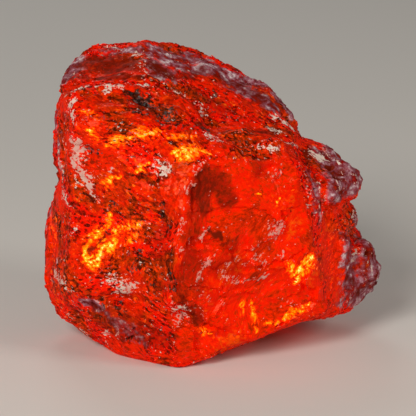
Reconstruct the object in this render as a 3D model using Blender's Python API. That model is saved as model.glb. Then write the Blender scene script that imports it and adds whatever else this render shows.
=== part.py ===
"""A rough, fractured lump of gem sphalerite, about 32 mm across, standing on a flat break.

The stone is one piece. It starts as six convex masses that share the stone's main break planes,
joined into one solid with a few rounded knobs. Shell-shaped bites are then cut from its skin, and
the skin gets the ledges, ripples and lumps that show from a step away.

Axes: X runs to the stone's right, Y runs back from its front, Z is up from the flat break below.
Tables and helpers work in millimetres. The last step turns the finished solid to metres.
"""

import math

import bmesh
import bpy
import numpy as np
from mathutils import Matrix, Vector, noise
from mathutils.bvhtree import BVHTree

# Driving dimensions.
TO_METRES = 0.001
WIDTH = 32.0
SKIN_CELL = 0.40
FACE_BUDGET = 9300
FOOT_TRIM = 0.16
FOOT_CALM = 1.6

# The skin's relief: how long each kind is and how far it stands out.
SWELL_LENGTH = 9.0
SWELL_HEIGHT = 0.22
SCALE_SIZE = 4.8
SCALE_TILT = 0.08
BACK_SCALE_SIZE = 6.2
BACK_SCALE_TILT = 0.08
LEDGE_SIZE = 2.1
LEDGE_TILT = 0.12
GRAIN_LENGTH = 2.3
GRAIN_HEIGHT = 0.16
RIPPLE_HEIGHT = 0.035
RIPPLE_TURNS = 1.9
LUMP_LENGTH = 2.0
LUMP_HEIGHT = 0.20

# Picks which way each cleavage scale and ledge leans. Any other number gives another stone.
LEAN_SEED = 1795841123

# Where the skin changes character: the fresh break faces this way, the lumpy end starts here.
FRESH_BREAK_FACING = Vector((0.38, -0.92, 0.0))
FRESH_BREAK_START = 0.6
FRESH_BREAK_ORIGIN = Vector((-1.0, -12.0, 22.0))
FRONT_FACING = Vector((-0.42, -0.86, 0.28))
LUMPY_END_START = 9.5
LUMPY_END_BLEND = 3.0

# The corners of each convex mass: (right, back, up).
BODY = {
    "foot_front": (-3.0, -9.6, 0.0),
    "foot_front_left": (-8.5, -5.9, 0.0),
    "foot_left": (-10.6, -1.0, 0.0),
    "foot_back_left": (-9.0, 7.0, 0.0),
    "foot_back": (-2.0, 10.0, 0.0),
    "foot_back_right": (6.5, 8.0, 0.0),
    "foot_right": (6.2, 3.0, 0.0),
    "foot_front_right": (2.0, -3.4, 0.0),
    "toe_left": (-13.9, -1.0, 2.2),
    "toe_front_left": (-10.9, -6.4, 3.3),
    "heel_left": (-15.3, 0.0, 3.6),
    "hip_left": (-15.75, 0.5, 8.0),
    "waist_left": (-15.4, 1.0, 12.0),
    "front_left_low": (-13.0, -7.0, 7.2),
    "front_left_high": (-12.6, -7.2, 20.0),
    "prow_low": (-3.5, -12.0, 7.1),
    "prow_middle": (-2.6, -12.4, 15.0),
    "prow_top": (-1.1, -11.4, 19.8),
    "lip_front": (-0.6, -9.4, 1.0),
    "lip_middle": (3.7, -8.6, 2.4),
    "lip_right": (7.3, -7.5, 3.8),
    "cheek_low": (10.9, -5.9, 4.3),
    "cheek_middle": (9.3, -8.0, 12.3),
    "brow_left": (2.4, -10.4, 20.0),
    "brow_middle": (6.3, -8.6, 19.8),
    "brow_right": (8.0, -7.4, 19.0),
    "parapet_middle": (3.4, -5.8, 21.4),
    "parapet_right": (7.6, -5.0, 19.9),
    "back_left_low": (-12.4, 8.6, 4.0),
    "back_left_middle": (-13.8, 8.0, 13.0),
    "back_low": (-3.5, 11.9, 7.0),
    "back_middle": (-1.5, 12.2, 15.0),
    "back_right_low": (9.5, 9.2, 5.0),
    "back_right_middle": (10.0, 9.0, 13.0),
    "back_right_high": (7.5, 8.2, 18.4),
    "back_left_high": (-11.5, 8.6, 21.5),
    "back_high": (-2.0, 10.6, 21.0),
}
SHOULDER = {
    "crest_left_end": (-13.7, -2.2, 24.3),
    "crest_left": (-12.8, -5.0, 25.0),
    "crest_middle": (-9.5, -4.4, 25.6),
    "crest_right": (-6.3, -4.2, 25.5),
    "crest_fall": (-3.6, -4.7, 25.0),
    "crest_end": (-1.3, -5.8, 23.4),
    "crest_slope": (-0.6, -6.6, 21.9),
    "step_foot": (0.4, -7.6, 20.3),
    "face_left": (-12.2, -7.9, 23.0),
    "face_middle": (-6.5, -10.1, 22.3),
    "face_right": (-1.6, -10.4, 20.8),
    "root_left": (-12.8, -7.0, 17.0),
    "root_prow": (-2.4, -11.6, 16.0),
    "flank": (-14.7, -0.5, 17.0),
    "flank_high": (-14.15, -1.2, 22.8),
    "root_back_left": (-13.5, 6.0, 16.0),
    "back_left": (-13.4, 5.0, 23.0),
    "back_right": (-2.0, 3.0, 22.8),
    "root_back": (-2.0, 4.0, 17.0),
}
DOME = {
    "left_foot": (-14.0, 1.2, 24.2),
    "left": (-13.7, 3.2, 25.1),
    "left_brow": (-13.0, 4.6, 25.8),
    "brow": (-11.9, 6.0, 26.6),
    "knob": (-10.5, 7.0, 27.1),
    "top": (-6.4, 7.0, 27.7),
    "top_right": (-3.4, 8.6, 27.1),
    "right": (-1.0, 8.8, 26.2),
    "ridge_high": (-6.7, 3.0, 26.9),
    "ridge_low": (-6.4, -1.6, 25.1),
    "front_left": (-13.0, -1.4, 24.2),
    "front_right": (-2.2, 0.4, 24.2),
    "back_left": (-12.2, 10.2, 24.0),
    "back": (-5.0, 11.8, 23.5),
    "back_right": (-0.5, 11.2, 22.5),
    "root_front_left": (-13.6, 0.5, 19.0),
    "root_front_right": (-1.5, 1.0, 19.0),
    "root_back_left": (-12.5, 9.5, 17.0),
    "root_back_right": (-0.5, 11.0, 17.0),
}
RIDGE = {
    "saddle": (-1.6, 8.8, 26.2),
    "high": (0.4, 8.5, 25.3),
    "middle": (4.8, 7.6, 23.6),
    "shoulder": (6.4, 6.6, 22.5),
    "fall": (7.6, 5.6, 20.8),
    "end": (8.7, 4.4, 19.1),
    "inner_high": (-1.4, 4.8, 25.3),
    "inner_middle": (2.0, 4.4, 23.8),
    "inner_low": (5.4, 3.0, 21.4),
    "gutter_left": (-1.8, -3.4, 21.6),
    "gutter_right": (7.6, -3.2, 19.2),
    "back_left": (-1.0, 11.4, 22.5),
    "back_middle": (4.6, 10.2, 20.6),
    "back_right": (8.8, 8.2, 17.2),
    "root_left": (-2.0, 0.0, 15.0),
    "root_right": (8.0, 0.0, 15.0),
    "root_back": (2.0, 11.0, 15.0),
}
END_BLOCK = {
    "top_left": (8.2, 3.4, 19.0),
    "top_middle": (10.4, 2.4, 18.5),
    "top_right": (12.2, 1.8, 17.3),
    "brow_inside": (7.7, -6.9, 18.2),
    "cheek_high": (9.4, -7.0, 16.4),
    "cheek_inside": (9.5, -7.5, 11.5),
    "cheek_low_inside": (10.7, -5.7, 4.6),
    "nose": (12.9, -1.6, 12.2),
    "nose_low": (13.8, -1.6, 5.6),
    "underside_front": (11.8, -4.4, 3.5),
    "underside_right": (13.2, -1.4, 2.8),
    "underside_back": (12.4, 5.4, 3.4),
    "side_high": (12.6, 5.2, 14.2),
    "side_low": (13.9, 5.8, 7.0),
    "back_high": (10.2, 8.0, 16.2),
    "back_low": (10.6, 8.6, 5.4),
    "root_foot": (5.2, 3.4, -0.1),
    "root_lip": (6.4, -6.4, 3.6),
    "root_high": (2.0, 2.0, 17.0),
}
LOBE = {
    "notch": (12.6, 0.0, 10.0),
    "crown": (14.6, 1.4, 9.5),
    "crown_right": (15.7, 2.0, 8.2),
    "tip": (16.0, 2.2, 6.4),
    "tip_low": (15.8, 2.0, 4.3),
    "chin": (14.5, 0.6, 3.1),
    "front": (13.6, -2.0, 6.8),
    "front_low": (12.6, -2.2, 3.2),
    "back": (14.2, 5.4, 6.6),
    "back_low": (12.6, 5.6, 3.8),
    "root": (10.0, 2.0, 6.0),
}

# Rounded knobs: centre and radii.
KNOBS = {
    "upper_lump": ((12.1, -0.5, 15.3), (2.1, 2.9, 2.3)),
    "upper_lump_front": ((10.5, -3.6, 15.6), (1.9, 2.5, 1.9)),
    "upper_lump_back": ((11.2, 3.8, 13.9), (1.9, 3.0, 2.7)),
    "small_knob": ((13.0, 0.6, 11.5), (0.9, 1.7, 1.1)),
    "side_lump": ((12.5, 5.6, 10.8), (1.5, 2.2, 2.2)),
    "cheek_lump": ((11.9, -2.8, 8.8), (1.3, 1.6, 3.4)),
    "lobe_top": ((13.9, 1.2, 8.0), (1.7, 2.9, 1.7)),
    "lobe_right": ((14.3, 1.6, 6.2), (1.8, 3.2, 1.9)),
    "lobe_back": ((12.9, 4.6, 7.6), (1.9, 2.9, 2.4)),
    "lobe_low": ((13.2, 2.8, 4.8), (1.8, 3.4, 1.5)),
    "dome_left_knob": ((-10.2, 6.6, 26.0), (1.7, 2.4, 1.1)),
    "parapet_left": ((1.0, -8.6, 20.4), (1.7, 1.4, 0.9)),
    "parapet_right": ((5.2, -6.8, 20.4), (2.0, 1.4, 0.9)),
}

# Shell-shaped bites: a point by the skin, (length, width, depth) and the turn seen from outside.
FRONT_BITES = {
    "pit_in_shoulder": ((-5.9, -5.9, 24.7), (4.2, 2.3, 1.0), -12),
    "pit_beside_it": ((-4.0, -7.5, 23.4), (3.4, 1.8, 0.7), -18),
    "scoop_under_crest": ((-8.8, -6.2, 24.8), (3.0, 1.8, 0.5), 4),
    "pit_by_left_edge": ((-11.2, -8.1, 20.3), (2.0, 1.8, 0.7), 0),
    "dish_over_windows": ((-6.6, -10.1, 20.4), (8.4, 2.4, 0.5), -8),
    "dish_by_windows": ((-9.2, -9.1, 12.2), (6.0, 4.6, 0.55), 32),
    "dish_by_prow": ((-4.8, -11.4, 15.4), (3.2, 5.2, 0.4), 14),
    "scoop_under_ledge": ((-7.7, -9.6, 6.4), (5.2, 2.2, 1.1), -6),
    "flat_low_left": ((-10.8, -7.6, 5.1), (2.8, 1.8, 0.6), -18),
    "crack_low": ((-7.5, -8.4, 2.7), (1.1, 2.8, 0.6), 14),
    "chip_above_foot": ((-2.7, -11.0, 5.6), (2.7, 2.6, 0.9), -24),
    "nick_low_left": ((-12.4, -5.2, 3.2), (3.4, 2.2, 0.5), -30),
}
BREAK_BITES = {
    "shell_beside_prow": ((0.2, -11.1, 17.0), (6.2, 8.2, 0.75), 14),
    "shell_below_prow": ((-0.2, -11.2, 9.9), (4.8, 6.6, 0.6), 34),
    "shell_right": ((5.4, -9.1, 13.0), (7.6, 7.4, 0.5), -28),
    "shell_low": ((3.8, -9.0, 6.8), (9.0, 5.2, 0.55), 20),
    "scoop_under_brow": ((5.4, -8.6, 18.0), (4.0, 2.8, 0.35), 8),
}
END_BITES = {
    "gap_beside_parapet": ((8.8, -3.0, 18.6), (1.6, 4.4, 0.9), 8),
    "groove_high": ((9.6, -6.6, 16.4), (1.0, 4.2, 0.45), 16),
    "groove_low": ((10.7, -5.2, 13.6), (0.9, 4.0, 0.4), 10),
    "hollow_in_lump": ((11.6, -2.9, 16.4), (1.6, 3.0, 0.35), 24),
    "neck_over_knob": ((13.2, -0.8, 13.0), (3.6, 1.0, 0.5), 10),
    "neck_under_knob": ((13.6, -0.4, 10.2), (3.8, 1.0, 0.5), -4),
    "bay_on_right": ((12.6, 5.8, 13.6), (4.6, 3.4, 0.5), 20),
}
LEFT_BITES = {
    "flute": ((-13.9, -4.4, 20.0), (1.1, 7.6, 0.5), 5),
    "notch": ((-15.6, 0.4, 14.4), (3.4, 1.6, 0.4), 12),
    "dish_low": ((-14.8, -2.4, 9.8), (3.6, 6.4, 0.4), -6),
    "bay_high": ((-14.6, 4.6, 18.4), (6.2, 6.0, 1.0), 24),
    "bay_low": ((-14.6, 6.0, 9.0), (6.0, 5.4, 0.8), -30),
}
ROOF_BITES = {
    "gap_behind_crest": ((-13.6, -1.2, 24.9), (3.4, 1.0, 0.8), 14),
    "gutter": ((1.4, -3.3, 21.6), (7.4, 2.0, 0.7), -8),
    "gutter_left": ((-2.0, -1.6, 23.4), (3.8, 2.6, 0.6), 20),
    "groove_on_dome": ((-9.1, 7.6, 27.4), (1.0, 5.0, 0.6), 6),
    "scoop_on_dome": ((-9.6, 1.4, 26.0), (5.0, 3.6, 0.45), 24),
    "scoop_under_rim": ((2.6, 5.6, 24.2), (6.0, 1.8, 0.5), -22),
    "nick_in_ridge": ((7.4, 3.4, 20.6), (3.0, 2.2, 0.5), -30),
    "nick_in_parapet": ((3.2, -7.4, 20.9), (2.2, 1.6, 0.5), 10),
}
BACK_BITES = {
    "shell_left_high": ((-8.4, 10.4, 17.4), (9.6, 6.4, 0.8), 18),
    "shell_left_low": ((-9.6, 9.6, 10.0), (7.6, 8.4, 0.8), -36),
    "shell_right_low": ((3.6, 10.8, 7.8), (8.0, 6.2, 0.8), -24),
    "shell_right_high": ((6.4, 9.6, 14.6), (7.4, 6.2, 0.7), 40),
    "shell_middle": ((-1.0, 12.0, 12.0), (5.0, 7.4, 0.6), 12),
    "chip_high": ((-4.4, 11.4, 21.4), (7.4, 3.4, 0.6), 10),
    "chip_under_ridge": ((4.4, 10.0, 19.4), (6.0, 2.8, 0.6), 30),
    "chip_low": ((-4.4, 11.4, 3.4), (6.0, 2.8, 0.7), -12),
}
BITES = (FRONT_BITES, BREAK_BITES, END_BITES, LEFT_BITES, ROOF_BITES, BACK_BITES)

# A bite is cut by the cap of an uneven ellipsoid whose centre floats its own depth off the skin.
BITE_RADIUS = 2.0
BITE_SPREAD = 0.5 / math.sqrt(1.0 - 1.0 / BITE_RADIUS**2)
BITE_ROUGHNESS = 0.22
KNOB_ROUGHNESS = 0.24


def clear_scene():
    """Removes every object of the file that the script starts in."""
    for item in list(bpy.data.objects):
        bpy.data.objects.remove(item)


def object_from(name, shape):
    """Turns a bmesh into an object in the scene."""
    bmesh.ops.recalc_face_normals(shape, faces=shape.faces)
    mesh = bpy.data.meshes.new(name)
    shape.to_mesh(mesh)
    shape.free()
    item = bpy.data.objects.new(name, mesh)
    bpy.context.scene.collection.objects.link(item)
    return item


def convex_mass(name, corners):
    """The convex solid that wraps the named corners."""
    shape = bmesh.new()
    for corner in corners.values():
        shape.verts.new(corner)
    hull = bmesh.ops.convex_hull(shape, input=shape.verts)
    inside = [part for part in hull["geom_interior"] if isinstance(part, bmesh.types.BMVert)]
    bmesh.ops.delete(shape, geom=inside, context="VERTS")
    return object_from(name, shape)


def ellipsoid(name, place, radii, roughness):
    """A ball made uneven, stretched to three radii and moved by the matrix."""
    shape = bmesh.new()
    bmesh.ops.create_icosphere(shape, subdivisions=3, radius=1.0)
    for vert in shape.verts:
        vert.co *= 1.0 + roughness * noise.fractal(vert.co * 1.3 + place.translation, 0.8, 2.2, 2)
    bmesh.ops.transform(shape, matrix=place @ Matrix.Diagonal((*radii, 1.0)), verts=shape.verts)
    return object_from(name, shape)


def knob(name, centre, radii):
    """A rounded lump that stands half out of the skin."""
    return ellipsoid(name, Matrix.Translation(centre), radii, KNOB_ROUGHNESS)


def bite(name, skin, near, size, turn):
    """The cutter of a shell-shaped bite in the skin at its point nearest to this place."""
    spot, outward, _, _ = skin.find_nearest(near)
    along = Vector((0.0, 0.0, 1.0)).cross(outward)
    if along.length < 0.4:
        along = Vector((1.0, 0.0, 0.0))
    along = (along - along.dot(outward) * outward).normalized()
    across = outward.cross(along)
    frame = Matrix((along, across, outward)).transposed().to_4x4()
    length, width, depth = size
    centre = Matrix.Translation(spot + outward * depth * (BITE_RADIUS - 1.0))
    place = centre @ frame @ Matrix.Rotation(math.radians(turn), 4, "Z")
    radii = (length * BITE_SPREAD, width * BITE_SPREAD, depth * BITE_RADIUS)
    return ellipsoid(name, place, radii, BITE_ROUGHNESS)


def apply_modifiers(item):
    """Replaces the object's mesh by its evaluated one."""
    graph = bpy.context.evaluated_depsgraph_get()
    made = bpy.data.meshes.new_from_object(item.evaluated_get(graph))
    item.modifiers.clear()
    item.data = made


def combine(target, others, operation):
    """Joins the other solids to the target, or cuts them from it, and removes them."""
    for other in others:
        step = target.modifiers.new(other.name, "BOOLEAN")
        step.operation = operation
        step.solver = "EXACT"
        step.object = other
    apply_modifiers(target)
    for other in others:
        bpy.data.objects.remove(other)


def skin_evenly(item, cell):
    """Rebuilds the surface from even cells, which also rounds each edge by about half a cell."""
    step = item.modifiers.new("even_skin", "REMESH")
    step.mode = "VOXEL"
    step.voxel_size = cell
    apply_modifiers(item)


def fractal(point, wavelength, octaves):
    """Smooth noise from about -1 to 1 with the given longest wavelength."""
    return noise.fractal(point / wavelength, 0.9, 2.1, octaves)


def cleavage_step(point, size, tilt, shift):
    """How high the skin stands here if it is made of flat scales, each with its own slight tilt."""
    place = point / size + Vector((shift, 0.0, 0.0))
    _, seeds = noise.voronoi(place)
    seed = seeds[0]
    lean = noise.noise_vector(seed * 3.7)
    return size * tilt * (lean.dot(place - seed) + 0.5 * noise.noise(seed * 5.3))


def share(value, start, blend):
    """0 below the start, rising to 1 over the blend."""
    return min(1.0, max(0.0, (value - start) / blend))


def relief(point, normal):
    """How far the skin moves out along its normal."""
    lumpy = share(point.x, LUMPY_END_START, LUMPY_END_BLEND)
    fresh = share(normal.dot(FRESH_BREAK_FACING), FRESH_BREAK_START, 1.0 - FRESH_BREAK_START)
    fresh *= 1.0 - lumpy
    ledged = share(normal.dot(FRONT_FACING), 0.6, 0.4) * (1.0 - fresh)
    behind = share(normal.y, 0.2, 0.5)
    height = SWELL_HEIGHT * fractal(point, SWELL_LENGTH, 2)
    height += cleavage_step(point, SCALE_SIZE, SCALE_TILT, 3.0) * (1.0 - 0.8 * fresh)
    height += cleavage_step(point, LEDGE_SIZE, LEDGE_TILT, 7.0) * ledged
    height += cleavage_step(point, BACK_SCALE_SIZE, BACK_SCALE_TILT, 13.0) * behind
    height += GRAIN_HEIGHT * fractal(point, GRAIN_LENGTH, 2) * (1.0 - 0.8 * fresh)
    ring = (point - FRESH_BREAK_ORIGIN).length
    height += RIPPLE_HEIGHT * fresh * math.sin(ring * RIPPLE_TURNS)
    height += LUMP_HEIGHT * lumpy * fractal(point, LUMP_LENGTH, 2)
    return height * share(point.z, 0.0, FOOT_CALM)


def weather(item):
    """Gives the skin its ledges, ripples and lumps."""
    mesh = item.data
    moved = []
    for vert in mesh.vertices:
        moved.append(vert.co + vert.normal * relief(vert.co, vert.normal))
    mesh.vertices.foreach_set("co", np.array(moved, np.float32).ravel())
    mesh.update()


def thin_out(item, budget):
    """Keeps about this many triangles, the most where the surface bends."""
    triangles = sum(len(face.vertices) - 2 for face in item.data.polygons)
    step = item.modifiers.new("thin_out", "DECIMATE")
    step.ratio = budget / triangles
    step.use_collapse_triangulate = True
    apply_modifiers(item)


def cut_foot(item):
    """Cuts the underside off flat and closes it with one level face at Z = 0."""
    shape = bmesh.new()
    shape.from_mesh(item.data)
    lowest = min(vert.co.z for vert in shape.verts)
    bmesh.ops.translate(shape, verts=shape.verts, vec=(0.0, 0.0, -lowest - FOOT_TRIM))
    every = shape.verts[:] + shape.edges[:] + shape.faces[:]
    cut = bmesh.ops.bisect_plane(
        shape, geom=every, dist=1e-5, plane_co=(0, 0, 0), plane_no=(0, 0, 1), clear_inner=True
    )
    rim = [part for part in cut["geom_cut"] if isinstance(part, bmesh.types.BMEdge)]
    bmesh.ops.holes_fill(shape, edges=rim)
    bmesh.ops.triangulate(shape, faces=shape.faces)
    bmesh.ops.recalc_face_normals(shape, faces=shape.faces)
    shape.to_mesh(item.data)
    shape.free()


def centre_on_foot(item):
    """Puts the origin under the middle of the stone, sets its width and turns it to metres."""
    mesh = item.data
    points = np.empty(len(mesh.vertices) * 3, np.float32)
    mesh.vertices.foreach_get("co", points)
    points = points.reshape(-1, 3).astype(float)
    low = points.min(axis=0)
    high = points.max(axis=0)
    middle = np.array([(low[0] + high[0]) / 2, (low[1] + high[1]) / 2, 0.0])
    points = (points - middle) * (WIDTH / (high[0] - low[0])) * TO_METRES
    mesh.vertices.foreach_set("co", points.astype(np.float32).ravel())
    mesh.update()


def sphalerite_material():
    """Red-orange translucent zinc blende with a glassy to resinous lustre."""
    material = bpy.data.materials.new("sphalerite")
    material.use_nodes = True
    shader = material.node_tree.nodes["Principled BSDF"]
    shader.inputs["Base Color"].default_value = (0.62, 0.04, 0.01, 1.0)
    shader.inputs["Roughness"].default_value = 0.3
    shader.inputs["Metallic"].default_value = 0.0
    shader.inputs["IOR"].default_value = 2.37
    return material


def build_stone():
    """The whole stone, as one named object."""
    stone = convex_mass("sphalerite_crystal", BODY)
    masses = [
        convex_mass("shoulder", SHOULDER),
        convex_mass("dome", DOME),
        convex_mass("ridge", RIDGE),
        convex_mass("end_block", END_BLOCK),
        convex_mass("lobe", LOBE),
    ]
    masses += [knob(name, *form) for name, form in KNOBS.items()]
    combine(stone, masses, "UNION")
    skin = BVHTree.FromObject(stone, bpy.context.evaluated_depsgraph_get())
    cutters = []
    for region in BITES:
        cutters += [bite(name, skin, *form) for name, form in region.items()]
    combine(stone, cutters, "DIFFERENCE")
    skin_evenly(stone, SKIN_CELL)
    weather(stone)
    thin_out(stone, FACE_BUDGET)
    cut_foot(stone)
    centre_on_foot(stone)
    stone.data.materials.clear()
    stone.data.materials.append(sphalerite_material())


clear_scene()
noise.seed_set(LEAN_SEED)
build_stone()
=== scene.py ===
"""The looks of a rough lump of gem sphalerite.

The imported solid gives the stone's form and place. This script lays a finer skin over that form, with
the cleavage steps, hackle, pits and lumps that show close by, sets cleavage flakes and small grains of
galena into the skin, and gives each of them its finish.

Blender's units are metres. Sizes in the tables are millimetres, and marks on the stone are placed by
pixels of the 416 by 416 photograph, through the same camera that the picture is taken with.
"""

import logging
import math
from collections.abc import Mapping, Sequence
from dataclasses import dataclass, field
from enum import Enum
from typing import Any

import bmesh
import bpy
import numpy as np
from mathutils import Euler, Matrix, Vector, noise
from mathutils.bvhtree import BVHTree


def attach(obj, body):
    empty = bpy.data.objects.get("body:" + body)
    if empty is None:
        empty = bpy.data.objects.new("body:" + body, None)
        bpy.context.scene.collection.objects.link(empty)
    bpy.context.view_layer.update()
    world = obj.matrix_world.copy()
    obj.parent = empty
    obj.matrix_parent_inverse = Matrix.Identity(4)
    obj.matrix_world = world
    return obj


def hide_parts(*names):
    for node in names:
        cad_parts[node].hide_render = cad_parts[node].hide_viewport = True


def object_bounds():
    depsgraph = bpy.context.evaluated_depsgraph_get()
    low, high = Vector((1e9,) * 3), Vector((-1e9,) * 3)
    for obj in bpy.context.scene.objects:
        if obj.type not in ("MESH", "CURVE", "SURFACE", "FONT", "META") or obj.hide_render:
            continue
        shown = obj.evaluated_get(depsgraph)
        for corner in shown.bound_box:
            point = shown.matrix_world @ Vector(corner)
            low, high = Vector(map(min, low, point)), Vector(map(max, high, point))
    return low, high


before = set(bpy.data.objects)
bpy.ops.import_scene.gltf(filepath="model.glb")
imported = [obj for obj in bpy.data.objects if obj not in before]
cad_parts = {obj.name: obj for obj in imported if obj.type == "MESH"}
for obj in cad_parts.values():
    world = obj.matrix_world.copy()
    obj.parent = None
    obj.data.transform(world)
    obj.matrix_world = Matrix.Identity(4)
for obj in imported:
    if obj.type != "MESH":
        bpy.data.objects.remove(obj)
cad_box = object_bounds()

LOG = logging.getLogger("sphalerite")

MM = 0.001
PHOTO_PIXELS = 416
STONE_NODE = "sphalerite_crystal"
STONE_BODY = "root"
# Fixes the random vectors that bend the marks, which otherwise follow the clock.
NOISE_SEED = 7

# Sphalerite splits along six planes, the faces of a rhombic dodecahedron, turned as in this stone.
CLEAVAGE_PLANES = ((1, 1, 0), (1, -1, 0), (1, 0, 1), (1, 0, -1), (0, 1, 1), (0, 1, -1))
CRYSTAL_TURN = Euler((math.radians(12.0), math.radians(-9.0), math.radians(18.0)))


class Mark(Enum):
    """What a mark on the skin shows. Its value names the vertex attribute that holds it."""

    # Painted glow, where light shines through thin clear parts.
    WINDOW = "glow_window"
    # Crushed white edges, and painted white glints.
    SCUFF_AND_GLINT = "scuff_and_glint"
    DIRT = "dirt"
    SHADE = "shade"
    # Frosted mauve rind with a painted pale sheen.
    RIND_AND_SHEEN = "rind_and_sheen"
    PIT = "pit"
    CALM = "calm"
    FIBRE = "fibre"
    LEAN = "lean"
    RIDGE = "ridge"

    def is_thin(self) -> bool:
        """Tells whether the mark fades far out, so that the finish can draw a thin line from it."""
        return self in (Mark.WINDOW, Mark.SCUFF_AND_GLINT, Mark.DIRT)


@dataclass(frozen=True)
class Stroke:
    """A mark drawn from one pixel of the photograph to another, with its half width in pixels."""

    start: tuple[float, float]
    end: tuple[float, float]
    width: float
    strength: float


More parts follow.
